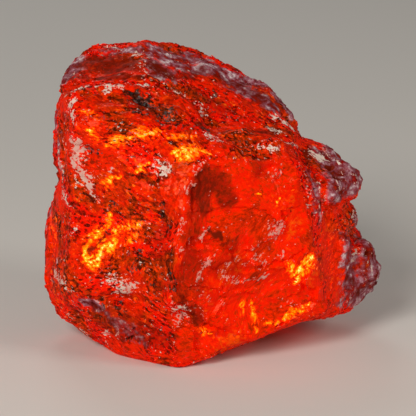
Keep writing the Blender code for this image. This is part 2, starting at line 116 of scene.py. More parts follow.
MARKS: dict[Mark, dict[str, Stroke]] = {
    # Painted glow: gold where light shines through thin clear parts, with a few painted sparkles.
    Mark.WINDOW: {
        "left_dot": Stroke((73, 264), (74, 265), 3.0, 0.75),
        "brow_left": Stroke((107, 145), (130, 140), 4.4, 0.92),
        "brow_middle": Stroke((130, 138), (162, 132), 5.8, 0.95),
        "brow_right": Stroke((160, 137), (194, 137), 4.4, 0.85),
        "step": Stroke((172, 154), (208, 153), 5.2, 1.0),
        "under_step": Stroke((134, 171), (151, 164), 3.5, 0.95),
        "small": Stroke((103, 185), (116, 177), 3.4, 0.95),
        "high_left": Stroke((78, 112), (96, 114), 3.5, 0.8),
        "high_left_low": Stroke((87, 131), (99, 138), 3.2, 0.85),
        "high_left_edge": Stroke((75, 125), (82, 128), 3.0, 0.6),
        "right": Stroke((310, 257), (296, 281), 5.2, 1.05),
        "right_inner": Stroke((288, 264), (293, 274), 4.5, 0.9),
        "low_right": Stroke((286, 316), (307, 309), 4.2, 1.0),
        "low_right_tail": Stroke((264, 326), (281, 319), 3.0, 0.8),
        "low_upright": Stroke((253, 298), (255, 332), 2.8, 0.85),
        "low_upright_left": Stroke((245, 298), (240, 321), 2.6, 0.7),
        "low_foot": Stroke((198, 330), (215, 338), 4.0, 0.8),
        "sparkle": Stroke((258, 193), (262, 195), 2.0, 1.0),
        "sparkle_low": Stroke((262, 198), (288, 203), 5.0, 0.42),
        "right_dot": Stroke((300, 229), (301, 230), 2.8, 0.8),
        "lozenge_dot": Stroke((224, 234), (226, 235), 2.8, 0.7),
        "prow_left": Stroke((150, 219), (165, 226), 5.0, 0.55),
        "under_ledge": Stroke((134, 299), (138, 297), 3.5, 0.8),
        "prow_edge": Stroke((177, 222), (180, 226), 3.5, 0.6),
        "left_cheek": Stroke((51, 208), (57, 238), 7.0, 0.60),
        "sparkle_b": Stroke((272, 194), (274, 195), 1.8, 1.0),
        "sparkle_c": Stroke((281, 198), (284, 199), 1.8, 1.0),
        "sparkle_d": Stroke((276, 205), (278, 207), 1.8, 1.0),
        "sparkle_e": Stroke((268, 203), (269, 204), 1.6, 0.95),
        "sparkle_f": Stroke((289, 192), (290, 194), 1.6, 0.95),
        "under_crest_red": Stroke((158, 98), (186, 108), 8.0, 0.42),
        "low_break_red": Stroke((232, 304), (298, 292), 8.0, 0.36),
        "left_brightest": Stroke((85, 263), (100, 259), 5.6, 1.15),
        "left_rim": Stroke((83, 254), (88, 242), 3.6, 0.95),
        "left_arch": Stroke((92, 238), (103, 230), 4.4, 0.95),
        "left_arch_high": Stroke((104, 230), (112, 216), 4.2, 0.85),
        "left_core": Stroke((99, 254), (114, 240), 6.6, 1.0),
        "left_top": Stroke((114, 232), (138, 225), 6.4, 0.85),
        "left_arm": Stroke((118, 243), (141, 236), 5.0, 0.8),
        "left_cheek_low": Stroke((50, 228), (54, 262), 6.0, 0.45),
        "crest_glow": Stroke((76, 98), (112, 104), 8.0, 0.40),
        "crest_glow_low": Stroke((80, 118), (104, 128), 8.0, 0.42),
        "right_face": Stroke((330, 226), (332, 286), 13.0, 0.42),
        "rim_low": Stroke((215, 340), (262, 330), 4.0, 0.5),
        "left_side": Stroke((58, 108), (60, 200), 6.0, 0.40),
        "left_low": Stroke((54, 262), (70, 318), 6.0, 0.38),
    },
    # Crushed white edges, and painted white glints where light catches small facets.
    Mark.SCUFF_AND_GLINT: {
        "edge_high": Stroke((67, 94), (66, 99), 2.6, 1.5),
        "edge_middle": Stroke((71, 103), (69, 110), 2.8, 1.55),
        "edge_low": Stroke((74, 113), (72, 122), 3.0, 1.55),
        "crest_left": Stroke((70, 92), (88, 86), 3.0, 1.4),
        "crest_middle": Stroke((100, 86), (122, 86), 3.0, 1.2),
        "crest_blob": Stroke((103, 91), (110, 91), 2.4, 1.2),
        "crest_beads": Stroke((130, 86), (154, 84), 2.2, 1.45),
        "crest_slope": Stroke((168, 88), (197, 106), 2.4, 1.35),
        "crest_corner": Stroke((199, 104), (204, 120), 1.8, 1.2),
        "band_top": Stroke((70, 137), (79, 140), 3.8, 1.35),
        "band": Stroke((76, 141), (76, 166), 5.4, 1.5),
        "band_low": Stroke((79, 167), (90, 190), 5.2, 1.4),
        "outer": Stroke((59, 150), (62, 185), 3.0, 1.15),
        "outer_low": Stroke((62, 185), (69, 206), 3.0, 1.1),
        "edge_inner": Stroke((64, 118), (66, 150), 2.0, 1.0),
        "fleck_a": Stroke((108, 165), (109, 171), 2.2, 0.95),
        "fleck_b": Stroke((96, 198), (98, 201), 2.4, 0.9),
        "fleck_c": Stroke((88, 218), (91, 222), 2.2, 0.8),
        "fleck_d": Stroke((75, 226), (77, 232), 2.6, 0.7),
        "fleck_e": Stroke((146, 222), (148, 225), 1.9, 0.8),
        "fleck_f": Stroke((149, 233), (151, 237), 1.9, 0.8),
        "step_cluster": Stroke((158, 161), (168, 174), 4.8, 1.25),
        "prow_high": Stroke((201, 162), (195, 177), 1.9, 1.35),
        "prow_middle": Stroke((195, 177), (189, 198), 1.8, 1.3),
        "prow_low": Stroke((189, 198), (184, 219), 1.9, 1.35),
        "prow_glint": Stroke((184, 215), (180, 231), 1.9, 1.4),
        "prow_foot": Stroke((179, 228), (181, 233), 2.4, 1.2),
        "ledge": Stroke((106, 281), (140, 284), 4.2, 1.0),
        "ledge_core": Stroke((118, 292), (134, 285), 4.4, 1.55),
        "ledge_glint": Stroke((138, 287), (143, 284), 2.0, 1.0),
        "low_sliver": Stroke((54, 273), (66, 286), 3.2, 1.6),
        "low_sliver_tail": Stroke((71, 288), (75, 298), 2.0, 1.1),
        "low_edge": Stroke((66, 312), (72, 319), 2.6, 0.7),
        "low_edge_foot": Stroke((79, 329), (86, 336), 2.8, 1.2),
        "foot_glint_a": Stroke((102, 336), (108, 330), 2.0, 1.1),
        "foot_glint_b": Stroke((118, 331), (118, 340), 2.0, 1.05),
        "foot_glint_c": Stroke((108, 344), (114, 350), 2.2, 1.1),
        "lens": Stroke((210, 254), (203, 268), 2.8, 1.6),
        "lens_tail": Stroke((203, 268), (198, 283), 2.6, 1.5),
        "break_edge_left": Stroke((176, 256), (187, 243), 1.8, 1.0),
        "break_edge_low": Stroke((187, 243), (193, 240), 2.2, 1.25),
        "break_edge": Stroke((193, 240), (206, 230), 1.8, 1.3),
        "break_tick": Stroke((210, 227), (214, 224), 2.0, 1.25),
        "band_patch": Stroke((270, 236), (282, 222), 4.6, 1.2),
        "band_patch_top": Stroke((276, 224), (282, 218), 2.4, 1.2),
        "band_long": Stroke((219, 284), (228, 266), 2.0, 1.3),
        "band_long_high": Stroke((228, 266), (250, 244), 2.2, 1.05),
        "band_inner": Stroke((252, 250), (264, 236), 2.6, 1.05),
        "band_side": Stroke((258, 267), (265, 260), 2.0, 1.25),
        "band_side_high": Stroke((265, 260), (286, 247), 2.2, 1.0),
        "band_cross": Stroke((242, 266), (262, 254), 2.8, 0.95),
        "band_shelf": Stroke((226, 276), (243, 281), 2.2, 1.1),
        "band_edge": Stroke((243, 282), (267, 274), 2.0, 1.45),
        "band_tip": Stroke((219, 286), (218, 292), 2.2, 1.2),
        "low_dot_a": Stroke((205, 294), (205, 297), 2.0, 0.95),
        "low_dot_b": Stroke((221, 300), (222, 308), 1.8, 0.8),
        "low_streak": Stroke((273, 286), (288, 283), 1.7, 0.7),
        "recess_grey": Stroke((197, 300), (206, 322), 2.6, 0.7),
        "right_glint": Stroke((287, 264), (293, 262), 1.9, 1.0),
        "brow_pale": Stroke((270, 180), (278, 170), 3.4, 0.85),
        "gap_chip": Stroke((312, 152), (324, 161), 3.6, 1.8),
        "groove_a": Stroke((305, 175), (309, 195), 2.6, 0.6),
        "groove_b": Stroke((337, 184), (340, 195), 2.6, 0.85),
        "groove_c": Stroke((322, 192), (324, 203), 2.0, 0.7),
        "groove_d": Stroke((313, 172), (307, 208), 1.6, 1.05),
        "groove_e": Stroke((319, 180), (314, 214), 1.5, 1.0),
        "groove_f": Stroke((328, 184), (321, 214), 1.6, 0.95),
        "lump_top": Stroke((322, 146), (346, 162), 4.0, 0.6),
        "lump_right": Stroke((350, 168), (357, 184), 4.0, 0.6),
        "lobe_top": Stroke((363, 238), (372, 250), 2.6, 0.65),
        "lobe_right": Stroke((378, 256), (381, 274), 2.4, 0.6),
        "lobe_foot": Stroke((346, 304), (374, 294), 2.4, 0.65),
        "notch": Stroke((356, 212), (359, 220), 3.0, 0.85),
        "recess_bright": Stroke((174, 325), (184, 315), 2.8, 1.5),
        "recess_top": Stroke((175, 311), (188, 303), 2.4, 1.4),
        "recess_left": Stroke((176, 308), (183, 305), 1.8, 0.85),
        "roof_chip_a": Stroke((272, 115), (282, 119), 3.0, 1.5),
        "roof_chip_b": Stroke((283, 123), (293, 129), 3.0, 1.6),
        "roof_chip_c": Stroke((270, 129), (280, 134), 2.6, 1.3),
        "dome_line": Stroke((143, 58), (144, 81), 2.0, 1.05),
        "dome_patch": Stroke((105, 46), (122, 51), 2.8, 1.05),
        "dome_left": Stroke((66, 70), (82, 72), 3.2, 0.55),
        "dome_glint_a": Stroke((134, 52), (139, 55), 3.0, 1.05),
        "dome_glint_b": Stroke((169, 53), (172, 54), 2.0, 0.9),
        "roof_grey": Stroke((162, 75), (178, 82), 3.4, 0.42),
        "parapet_edge": Stroke((204, 133), (228, 142), 2.4, 1.05),
        "parapet_right": Stroke((258, 146), (296, 147), 2.4, 1.05),
        "break_fleck_a": Stroke((205, 296), (208, 303), 2.2, 0.8),
        "break_fleck_b": Stroke((290, 303), (294, 306), 2.2, 0.9),
        "break_fleck_c": Stroke((281, 300), (283, 304), 2.0, 0.7),
        "break_fleck_d": Stroke((226, 319), (229, 321), 2.0, 0.8),
        "parapet_patch": Stroke((264, 150), (282, 147), 2.8, 1.0),
        "facet_edge": Stroke((82, 316), (104, 312), 1.8, 1.0),
        "lobe_glint": Stroke((355, 246), (352, 262), 1.8, 0.9),
        "knob_top": Stroke((353, 209), (358, 212), 2.6, 1.1),
    },
    Mark.DIRT: {
        "under_crest": Stroke((126, 92), (158, 114), 10.0, 0.65),
        "front_middle": Stroke((96, 196), (150, 210), 9.0, 0.3),
        "pit_dark": Stroke((130, 92), (158, 108), 7.0, 1.1),
        "pit_grey": Stroke((160, 106), (177, 124), 7.5, 0.85),
        "pit_band": Stroke((150, 119), (198, 127), 5.0, 0.7),
        "crest_hollow": Stroke((122, 90), (130, 92), 3.0, 0.8),
        "hollow_left": Stroke((84, 148), (97, 151), 6.5, 0.72),
        "tiny": Stroke((177, 160), (179, 160), 2.2, 1.0),
        "front_a": Stroke((111, 205), (115, 205), 3.0, 1.0),
        "front_b": Stroke((160, 202), (165, 203), 3.4, 0.95),
        "grey_patch": Stroke((161, 208), (167, 229), 4.6, 0.85),
        "prow": Stroke((167, 265), (174, 298), 4.2, 0.75),
        "low_a": Stroke((141, 250), (134, 262), 3.4, 0.9),
        "low_b": Stroke((127, 269), (139, 270), 2.4, 0.9),
        "low_c": Stroke((152, 280), (154, 286), 2.6, 1.0),
        "under_ledge": Stroke((118, 303), (122, 306), 2.8, 1.0),
        "under_ledge_low": Stroke((116, 311), (127, 313), 3.0, 0.75),
        "crack": Stroke((133, 328), (129, 345), 1.9, 1.0),
        "middle": Stroke((118, 128), (132, 134), 3.6, 0.7),
        "upper_left": Stroke((104, 116), (122, 124), 3.6, 0.5),
        "roof_a": Stroke((210, 90), (215, 94), 3.4, 0.9),
        "roof_b": Stroke((160, 78), (168, 82), 3.4, 0.7),
        "valley": Stroke((200, 128), (248, 128), 4.0, 0.9),
        "valley_right": Stroke((258, 122), (290, 133), 3.2, 0.6),
        "window_core": Stroke((108, 231), (111, 236), 2.6, 0.8),
        "sliver_left": Stroke((124, 252), (122, 258), 2.2, 0.6),
        "break_streak_a": Stroke((292, 196), (289, 216), 1.9, 0.6),
        "break_streak_b": Stroke((296, 238), (289, 252), 1.8, 0.5),
        "groove_dark": Stroke((309, 178), (312, 200), 2.0, 0.7),
        "notch_dark": Stroke((350, 207), (351, 215), 2.4, 0.9),
        "facet_crack": Stroke((104, 300), (107, 312), 1.8, 0.9),
        "pit_black": Stroke((138, 98), (148, 106), 5.0, 1.4),
        "pit_low": Stroke((134, 112), (152, 118), 3.6, 1.0),
    },
    Mark.SHADE: {
        "dome_facet": Stroke((88, 62), (134, 66), 15.0, 0.85),
        "dome_left": Stroke((66, 80), (84, 74), 9.0, 0.5),
        "dome_hollow": Stroke((150, 66), (168, 76), 12.0, 0.9),
        "rim": Stroke((200, 70), (280, 106), 10.0, 0.45),
        "under_crest": Stroke((126, 96), (158, 116), 9.0, 0.5),
        "foot": Stroke((96, 318), (164, 338), 17.0, 0.5),
        "front_right": Stroke((164, 212), (166, 290), 8.0, 0.4),
        "break_top": Stroke((206, 172), (202, 206), 13.0, 0.9),
        "break_top_right": Stroke((216, 176), (228, 200), 11.0, 0.75),
        "break_left": Stroke((194, 206), (190, 244), 9.0, 0.55),
        "break_low_left": Stroke((190, 256), (200, 290), 13.0, 0.5),
        "break_band": Stroke((214, 270), (240, 262), 11.0, 0.45),
        "break_edge": Stroke((194, 196), (187, 240), 7.0, 0.5),
        "break_low": Stroke((180, 262), (179, 300), 6.0, 0.6),
        "lozenge": Stroke((211, 226), (221, 240), 3.2, 1.4),
        "gap": Stroke((304, 152), (312, 163), 4.4, 1.0),
        "lump_hollow": Stroke((331, 166), (339, 181), 5.0, 1.3),
        "recess": Stroke((182, 304), (200, 320), 7.0, 0.8),
        "notch": Stroke((350, 206), (354, 231), 4.0, 0.8),
        "lobe_hole": Stroke((365, 250), (368, 255), 3.4, 1.3),
        "lobe_hole_low": Stroke((346, 276), (361, 297), 3.4, 0.9),
        "valley": Stroke((196, 124), (290, 132), 5.0, 0.9),
        "band_brown": Stroke((238, 240), (226, 252), 6.0, 0.5),
        "brow_brown": Stroke((256, 164), (264, 174), 8.0, 0.45),
        "roof_red": Stroke((172, 76), (206, 68), 5.0, 0.7),
        "under_ledge": Stroke((100, 292), (140, 300), 4.0, 0.6),
        "left_groove": Stroke((63, 110), (64, 150), 2.6, 0.7),
        "groove": Stroke((316, 176), (318, 208), 2.4, 0.9),
        "foot_left": Stroke((66, 300), (80, 316), 6.0, 0.4),
        "groove_left": Stroke((302, 172), (306, 204), 2.0, 0.9),
        "groove_right": Stroke((324, 176), (320, 206), 2.0, 0.8),
        "facet_crack": Stroke((82, 319), (106, 314), 2.0, 0.9),
        "window_hook": Stroke((87, 248), (98, 246), 2.4, 1.0),
        "window_hook_high": Stroke((98, 245), (106, 234), 2.0, 0.9),
        "crest_back": Stroke((70, 79), (140, 77), 5.0, 0.8),
        "crest_red_gap": Stroke((308, 150), (304, 164), 4.0, 1.0),
        "roof_brown": Stroke((196, 92), (236, 112), 10.0, 0.4),
    },
    # Frosted mauve rind, with a painted pale sheen on it.
    Mark.RIND_AND_SHEEN: {
        "dome_left": Stroke((66, 80), (78, 58), 12.0, 1.0),
        "dome_top": Stroke((150, 46), (186, 60), 15.0, 0.9),
        "dome_right": Stroke((150, 64), (170, 78), 17.0, 0.85),
        "rim": Stroke((192, 58), (284, 96), 15.0, 1.0),
        "upper_lump": Stroke((318, 152), (356, 188), 17.0, 1.0),
        "grooves": Stroke((306, 168), (316, 212), 10.0, 0.8),
        "groove_foot": Stroke((316, 212), (320, 228), 5.0, 0.5),
        "lobe_side": Stroke((350, 250), (352, 298), 16.0, 0.95),
        "lobe": Stroke((372, 258), (356, 300), 18.0, 1.0),
        "lobe_low": Stroke((338, 302), (362, 298), 6.0, 0.7),
        "end_middle": Stroke((344, 234), (354, 262), 11.0, 0.9),
        "small_knob": Stroke((355, 214), (359, 222), 7.0, 1.1),
        "mauve_facet": Stroke((86, 303), (102, 309), 8.5, 1.35),
        "low_left": Stroke((112, 320), (148, 344), 11.0, 0.6),
        "rim_edge_left": Stroke((100, 49), (150, 40), 8.0, 0.85),
        "rim_edge_top": Stroke((150, 40), (206, 52), 11.0, 0.95),
        "rim_edge": Stroke((206, 53), (264, 84), 12.0, 1.0),
        "rim_edge_right": Stroke((264, 84), (290, 114), 10.0, 0.9),
    },
    Mark.CALM: {
        "dome_facet": Stroke((86, 66), (138, 70), 15.0, 1.0),
        "dome_left": Stroke((70, 76), (82, 58), 8.0, 0.6),
        "dome_right": Stroke((150, 50), (176, 64), 10.0, 0.7),
        "rim": Stroke((192, 62), (286, 100), 6.0, 0.6),
        "right_face": Stroke((326, 228), (338, 290), 18.0, 1.0),
        "left_cheek": Stroke((52, 205), (56, 250), 9.0, 1.0),
        "mauve_facet": Stroke((86, 303), (103, 310), 9.0, 1.0),
        "foot_left": Stroke((160, 356), (240, 342), 7.0, 1.0),
        "foot_right": Stroke((240, 340), (330, 311), 7.0, 1.0),
        "roof_slope": Stroke((188, 74), (250, 104), 9.0, 0.4),
        "lower_sweep": Stroke((210, 306), (290, 292), 14.0, 0.3),
        "left_low": Stroke((55, 250), (66, 302), 9.0, 0.8),
        "left_side": Stroke((58, 100), (60, 200), 5.0, 0.85),
        "lobe": Stroke((358, 262), (352, 296), 12.0, 0.7),
        "crest_front": Stroke((80, 100), (116, 106), 10.0, 0.55),
        "crest_front_right": Stroke((160, 98), (190, 110), 9.0, 0.55),
    },
    Mark.FIBRE: {
        "prow": Stroke((188, 182), (170, 300), 11.0, 1.0),
        "left_edge": Stroke((64, 106), (70, 200), 9.0, 1.0),
        "left_low": Stroke((56, 210), (64, 300), 10.0, 0.8),
        "front_low": Stroke((120, 244), (150, 286), 9.0, 0.6),
        "foot": Stroke((110, 322), (150, 345), 12.0, 0.8),
        "break_left": Stroke((204, 170), (196, 240), 11.0, 0.9),
        "break_low": Stroke((240, 312), (256, 336), 12.0, 0.7),
    },
    Mark.LEAN: {
        "band": Stroke((222, 290), (280, 224), 26.0, 1.0),
        "lens": Stroke((210, 254), (196, 284), 9.0, 1.0),
        "foot": Stroke((230, 300), (300, 262), 20.0, 0.8),
        "grooves": Stroke((308, 170), (316, 222), 12.0, 1.0),
    },
    Mark.RIDGE: {
        "prow_high": Stroke((201, 162), (189, 197), 2.6, 1.3),
        "prow_middle": Stroke((189, 197), (179, 232), 2.6, 1.3),
        "prow_low": Stroke((179, 232), (174, 290), 2.4, 0.7),
        "break_step": Stroke((187, 242), (214, 224), 2.4, 0.9),
        "band_foot": Stroke((216, 293), (240, 281), 2.6, 0.9),
        "band_foot_right": Stroke((240, 281), (268, 273), 2.6, 1.0),
        "band_back": Stroke((228, 262), (250, 244), 2.4, 0.8),
        "band_back_high": Stroke((250, 244), (282, 216), 2.6, 1.0),
        "band_rib_a": Stroke((243, 272), (262, 240), 2.2, 0.8),
        "band_rib_b": Stroke((254, 268), (274, 236), 2.2, 0.8),
        "lens": Stroke((210, 257), (197, 280), 2.4, 0.9),
        "crest_left": Stroke((61, 88), (92, 84), 2.8, 1.3),
        "crest_middle": Stroke((92, 84), (123, 86), 2.8, 1.3),
        "crest_beads": Stroke((123, 86), (158, 84), 2.6, 1.3),
        "crest_right": Stroke((158, 84), (193, 99), 2.8, 1.3),
        "crest_corner": Stroke((193, 99), (204, 118), 2.6, 0.9),
        "parapet_left": Stroke((204, 133), (240, 144), 2.8, 0.8),
        "parapet_right": Stroke((240, 144), (298, 148), 2.8, 0.8),
        "groove_edge_a": Stroke((303, 166), (309, 205), 2.4, 0.9),
        "groove_edge_b": Stroke((316, 172), (311, 216), 2.2, 0.9),
        "groove_edge_c": Stroke((327, 182), (320, 218), 2.2, 0.8),
        "facet_edge": Stroke((82, 315), (104, 311), 2.6, 1.0),
        "recess_edge": Stroke((174, 311), (190, 303), 2.6, 1.0),
        "recess_low": Stroke((172, 328), (192, 308), 2.4, 0.8),
    },
    Mark.PIT: {
        "pit_dark": Stroke((134, 96), (152, 105), 4.5, 0.9),
        "pit_grey": Stroke((163, 112), (172, 122), 4.0, 0.7),
        "hollow_left": Stroke((86, 149), (96, 152), 4.5, 0.6),
        "tiny": Stroke((178, 160), (178, 160), 3.0, 1.0),
        "front_a": Stroke((113, 205), (114, 205), 3.6, 0.9),
        "front_b": Stroke((162, 202), (164, 203), 4.0, 0.8),
        "low_a": Stroke((140, 252), (135, 261), 3.2, 0.8),
        "low_c": Stroke((153, 282), (153, 284), 3.2, 0.9),
        "under_ledge": Stroke((119, 304), (121, 305), 3.4, 1.0),
        "crack": Stroke((133, 328), (129, 345), 2.6, 1.0),
        "lobe_hole": Stroke((366, 252), (367, 254), 3.6, 1.0),
        "lump_hollow": Stroke((333, 169), (338, 180), 4.0, 0.9),
        "notch": Stroke((351, 208), (353, 216), 3.4, 0.7),
        "roof_a": Stroke((212, 92), (214, 94), 3.0, 0.7),
        "recess": Stroke((184, 312), (198, 316), 6.0, 0.8),
    },
}


def linear(code: str) -> tuple[float, float, float, float]:
    """Turns an sRGB hex colour into the linear values that shaders read.

    Args:
        code: The colour as "#RRGGBB".

    Returns:
        Red, green, blue and an alpha of 1.
    """
    parts = [int(code[i : i + 2], 16) / 255 for i in (1, 3, 5)]
    turned = [p / 12.92 if p <= 0.04045 else ((p + 0.055) / 1.055) ** 2.4 for p in parts]
    return (turned[0], turned[1], turned[2], 1.0)


def add_node(
    tree: bpy.types.NodeTree,
    kind: str,
    settings: Mapping[str, Any] | None = None,
    inputs: Mapping[str | int, Any] | None = None,
    stops: Sequence[tuple[float, str]] = (),
) -> bpy.types.Node:
    """Adds a node with its settings, input values and links.

    Args:
        tree: The node tree that gets the node.
        kind: The node's type name in Blender.
        settings: Properties to set on the node.
        inputs: For a socket's name or number, a value, or another node's output to link in.
        stops: For a colour ramp, each stop's place and hex colour.

    Returns:
        The new node.
    """
    node = tree.nodes.new(kind)
    for name, value in (settings or {}).items():
        setattr(node, name, value)
    for key, value in (inputs or {}).items():
        if isinstance(value, bpy.types.NodeSocket):
            tree.links.new(value, node.inputs[key])
        else:
            node.inputs[key].default_value = value
    if stops:
        ramp = node.color_ramp
        while len(ramp.elements) < len(stops):
            ramp.elements.new(1.0)
        for element, (place, code) in zip(ramp.elements, stops):
            element.position = place
            element.color = linear(code)
    return node


def smooth_step(low: float, high: float, values: np.ndarray) -> np.ndarray:
    """Rises smoothly from 0 at low to 1 at high, or falls where high is the smaller.

    Args:
        low: Where the result is 0.
        high: Where the result is 1.
        values: The values to map.

    Returns:
        The mapped values.
    """
    t = np.clip((values - low) / (high - low), 0.0, 1.0)
    return t * t * (3.0 - 2.0 * t)


def wobble(points: np.ndarray, size: float, octaves: int = 3, seed: float = 0.0) -> np.ndarray:
    """Samples fractal noise at points.

    Args:
        points: Places in millimetres.
        size: The length of the largest bumps in millimetres.
        octaves: How many finer layers are added.
        seed: Moves the pattern elsewhere.

    Returns:
        Values of about -1 to 1.
    """
    places = points / size + 31.7 * seed
    return np.array([noise.fractal(Vector(p), 1.0, 2.0, octaves) for p in places])


def cell_distance(points: np.ndarray, size: float, seed: float) -> np.ndarray:
    """Measures how far points are from the middle of the nearest of a set of scattered cells.

    Args:
        points: Places in millimetres.
        size: The width of a cell in millimetres.
        seed: Moves the pattern elsewhere.

    Returns:
        Distances, as shares of a cell's width.
    """
    places = points / size + 23.9 * seed
    return np.array([noise.voronoi(Vector(p))[0][0] for p in places])


def sway(points: np.ndarray, size: float, seed: float) -> np.ndarray:
    """Samples smooth random vectors at points.

    Args:
        points: Places in millimetres.
        size: The length over which the vectors turn, in millimetres.
        seed: Moves the pattern elsewhere.

    Returns:
        Vectors of about unit length.
    """
    places = points / size + 19.3 * seed
    return np.array([noise.noise_vector(Vector(p)) for p in places])


@dataclass(frozen=True)
class PhotoView:
    """The photograph's camera: it looks along +Y and down a little, through a long lens."""

    target: tuple[float, float, float] = (-0.47, 0.0, 12.65)
    elevation: float = 15.0
    distance: float = 217.5
    lens: float = 200.0
    sensor: float = 36.0

    def place(self) -> Vector:
        """Gives the camera's place in metres."""
        tilt = math.radians(self.elevation)
        back = Vector((0.0, -math.cos(tilt), math.sin(tilt)))
        return (Vector(self.target) + back * self.distance) * MM

    def turn(self) -> Matrix:
        """Gives the camera's rotation."""
        return Euler((math.radians(90.0 - self.elevation), 0.0, 0.0)).to_matrix()

    def ray(self, pixel: tuple[float, float]) -> Vector:
        """Gives the direction from the camera through a pixel of the photograph."""
        across = (pixel[0] / PHOTO_PIXELS - 0.5) * self.sensor / self.lens
        up = (0.5 - pixel[1] / PHOTO_PIXELS) * self.sensor / self.lens
        return (self.turn() @ Vector((across, up, -1.0))).normalized()

    def pixel_size(self) -> float:
        """Gives the width of one pixel at the stone, in millimetres."""
        return self.distance * self.sensor / self.lens / PHOTO_PIXELS

    def build(self) -> bpy.types.Object:
        """Makes the camera and takes it as the scene's own.

        Returns:
            The camera object.
        """
        data = bpy.data.cameras.new("photo_camera")
        data.lens = self.lens
        data.sensor_width = self.sensor
        data.clip_start = 0.01
        data.clip_end = 10.0
        camera = bpy.data.objects.new("photo_camera", data)
        camera.location = self.place()
        camera.rotation_euler = self.turn().to_euler()
        bpy.context.scene.collection.objects.link(camera)
        bpy.context.scene.camera = camera
        return camera


@dataclass(frozen=True)
class GemSphalerite:
    """Gem sphalerite: clear red-orange zinc sulphide with a very high IOR.

    Broken skin has an adamantine to resinous gloss. Light that enters it comes out red, or gold where the
    stone is thin and clear, and here that light is painted as a glow. Iron stain and dark grains lie in
    its pits, its edges are crushed white with painted white glints among them, and the outer rind is
    frosted mauve with a painted pale sheen.
    """

    name: str = "gem_sphalerite_broken"
    ior: float = 2.37
    specular_level: float = 0.0
    specular_tint: str = "#FF7450"
    transmission: float = 0.20
    roughness: float = 0.24
    fresh_roughness: float = 0.16
    # Strength of the painted glow over the body; the windows glow more.
    glow: float = 0.20
    absorbed: str = "#FF6414"
    absorption_per_metre: float = 380.0

    def material(self) -> bpy.types.Material:
        """Builds the material.

        Returns:
            The finished material.
        """
        material = bpy.data.materials.new(self.name)
        material.use_nodes = True
        tree = material.node_tree
        tree.nodes.clear()
        place = add_node(tree, "ShaderNodeTexCoord").outputs["Object"]
        mm = add_node(
            tree, "ShaderNodeVectorMath", {"operation": "SCALE"}, {0: place, "Scale": 1.0 / MM}
        ).outputs[0]
        fields = self.fields(tree, mm)
        colour, glow = self.colours(tree, fields)
        rough = self.gloss(tree, fields)
        bump = self.relief(tree, mm, fields)
        shader = add_node(
            tree,
            "ShaderNodeBsdfPrincipled",
            {},
            {
                "Base Color": colour,
                "Roughness": rough,
                "Normal": bump,
                # The emission is a painted glow: the stone is no lamp.
                "Emission Color": glow,
                "Emission Strength": 1.0,
                "IOR": self.ior,
                "Specular IOR Level": self.specular_level,
                "Specular Tint": linear(self.specular_tint),
                "Transmission Weight": self.transmission,
            },
        )
        volume = add_node(
            tree,
            "ShaderNodeVolumeAbsorption",
            {},
            {"Color": linear(self.absorbed), "Density": self.absorption_per_metre},
        )
        add_node(
            tree,
            "ShaderNodeOutputMaterial",
            {},
            {"Surface": shader.outputs[0], "Volume": volume.outputs[0]},
        )
        return material

    def fields(
        self, tree: bpy.types.NodeTree, mm: bpy.types.NodeSocket
    ) -> dict[str, bpy.types.NodeSocket]:
        """Adds the patterns and the skin's own marks that the other parts read.

        Args:
            tree: The material's node tree.
            mm: Object coordinates in millimetres.

        Returns:
            The patterns and marks by name.
        """
        found: dict[str, bpy.types.NodeSocket] = {}
        for name in (
            "glow_window",
            "scuff_and_glint",
            "dirt",
            "shade",
            "rind_and_sheen",
            "fibre",
            "lean",
            "fresh",
            "painted_glow_share",
        ):
            found[name] = add_node(tree, "ShaderNodeAttribute", {"attribute_name": name}).outputs["Fac"]
        # Cleavage flakes lie in streaks, about 0.9 mm long and 0.3 mm high. They rise to the right,
        # and their direction turns over stretches of 7 mm.
        drift = add_node(
            tree, "ShaderNodeTexNoise", {}, {"Vector": mm, "Scale": 1.0 / 7.0, "Detail": 1.0}
        ).outputs["Color"]
        curved = add_node(
            tree,
            "ShaderNodeVectorMath",
            {"operation": "MULTIPLY_ADD"},
            {0: drift, 1: (3.0, 3.0, 3.0), 2: mm},
        ).outputs[0]
        level = add_node(
            tree,
            "ShaderNodeMapping",
            {"vector_type": "TEXTURE"},
            {
                "Vector": curved,
                "Rotation": (0.0, math.radians(14.0), math.radians(-26.0)),
                "Scale": (1.7, 1.2, 1.0),
            },
        ).outputs[0]
        upright = add_node(
            tree,
            "ShaderNodeMapping",
            {"vector_type": "TEXTURE"},
            {
                "Vector": curved,
                "Rotation": (0.0, math.radians(8.0), math.radians(-12.0)),
                "Scale": (0.9, 1.1, 2.2),
            },
        ).outputs[0]
        leaning = add_node(
            tree,
            "ShaderNodeMapping",
            {"vector_type": "TEXTURE"},
            {
                "Vector": curved,
                "Rotation": (0.0, math.radians(36.0), 0.0),
                "Scale": (0.9, 1.1, 3.0),
            },
        ).outputs[0]
        # A mark's edge is taken hard, because blended coordinates would smear the pattern.
        along = level
        for mark, turned in (("fibre", upright), ("lean", leaning)):
            chosen = add_node(
                tree, "ShaderNodeMath", {"operation": "GREATER_THAN"}, {0: found[mark], 1: 0.5}
            ).outputs[0]
            along = add_node(
                tree, "ShaderNodeMix", {"data_type": "VECTOR"}, {0: chosen, 4: along, 5: turned}
            ).outputs[1]
        found["streak"] = add_node(
            tree,
            "ShaderNodeTexNoise",
            {},
            {"Vector": along, "Scale": 1.0 / 0.36, "Detail": 5.0, "Roughness": 0.70, "Distortion": 0.4},
        ).outputs["Fac"]
        flake = add_node(
            tree,
            "ShaderNodeTexVoronoi",
            {},
            {"Vector": along, "Scale": 1.0 / 0.27, "Randomness": 1.0},
        )
        found["flake_tone"] = add_node(
            tree, "ShaderNodeSeparateColor", {}, {0: flake.outputs["Color"]}
        ).outputs[0]
        found["flake_colour"] = flake.outputs["Color"]
        found["flake_place"] = flake.outputs["Position"]
        found["along"] = along
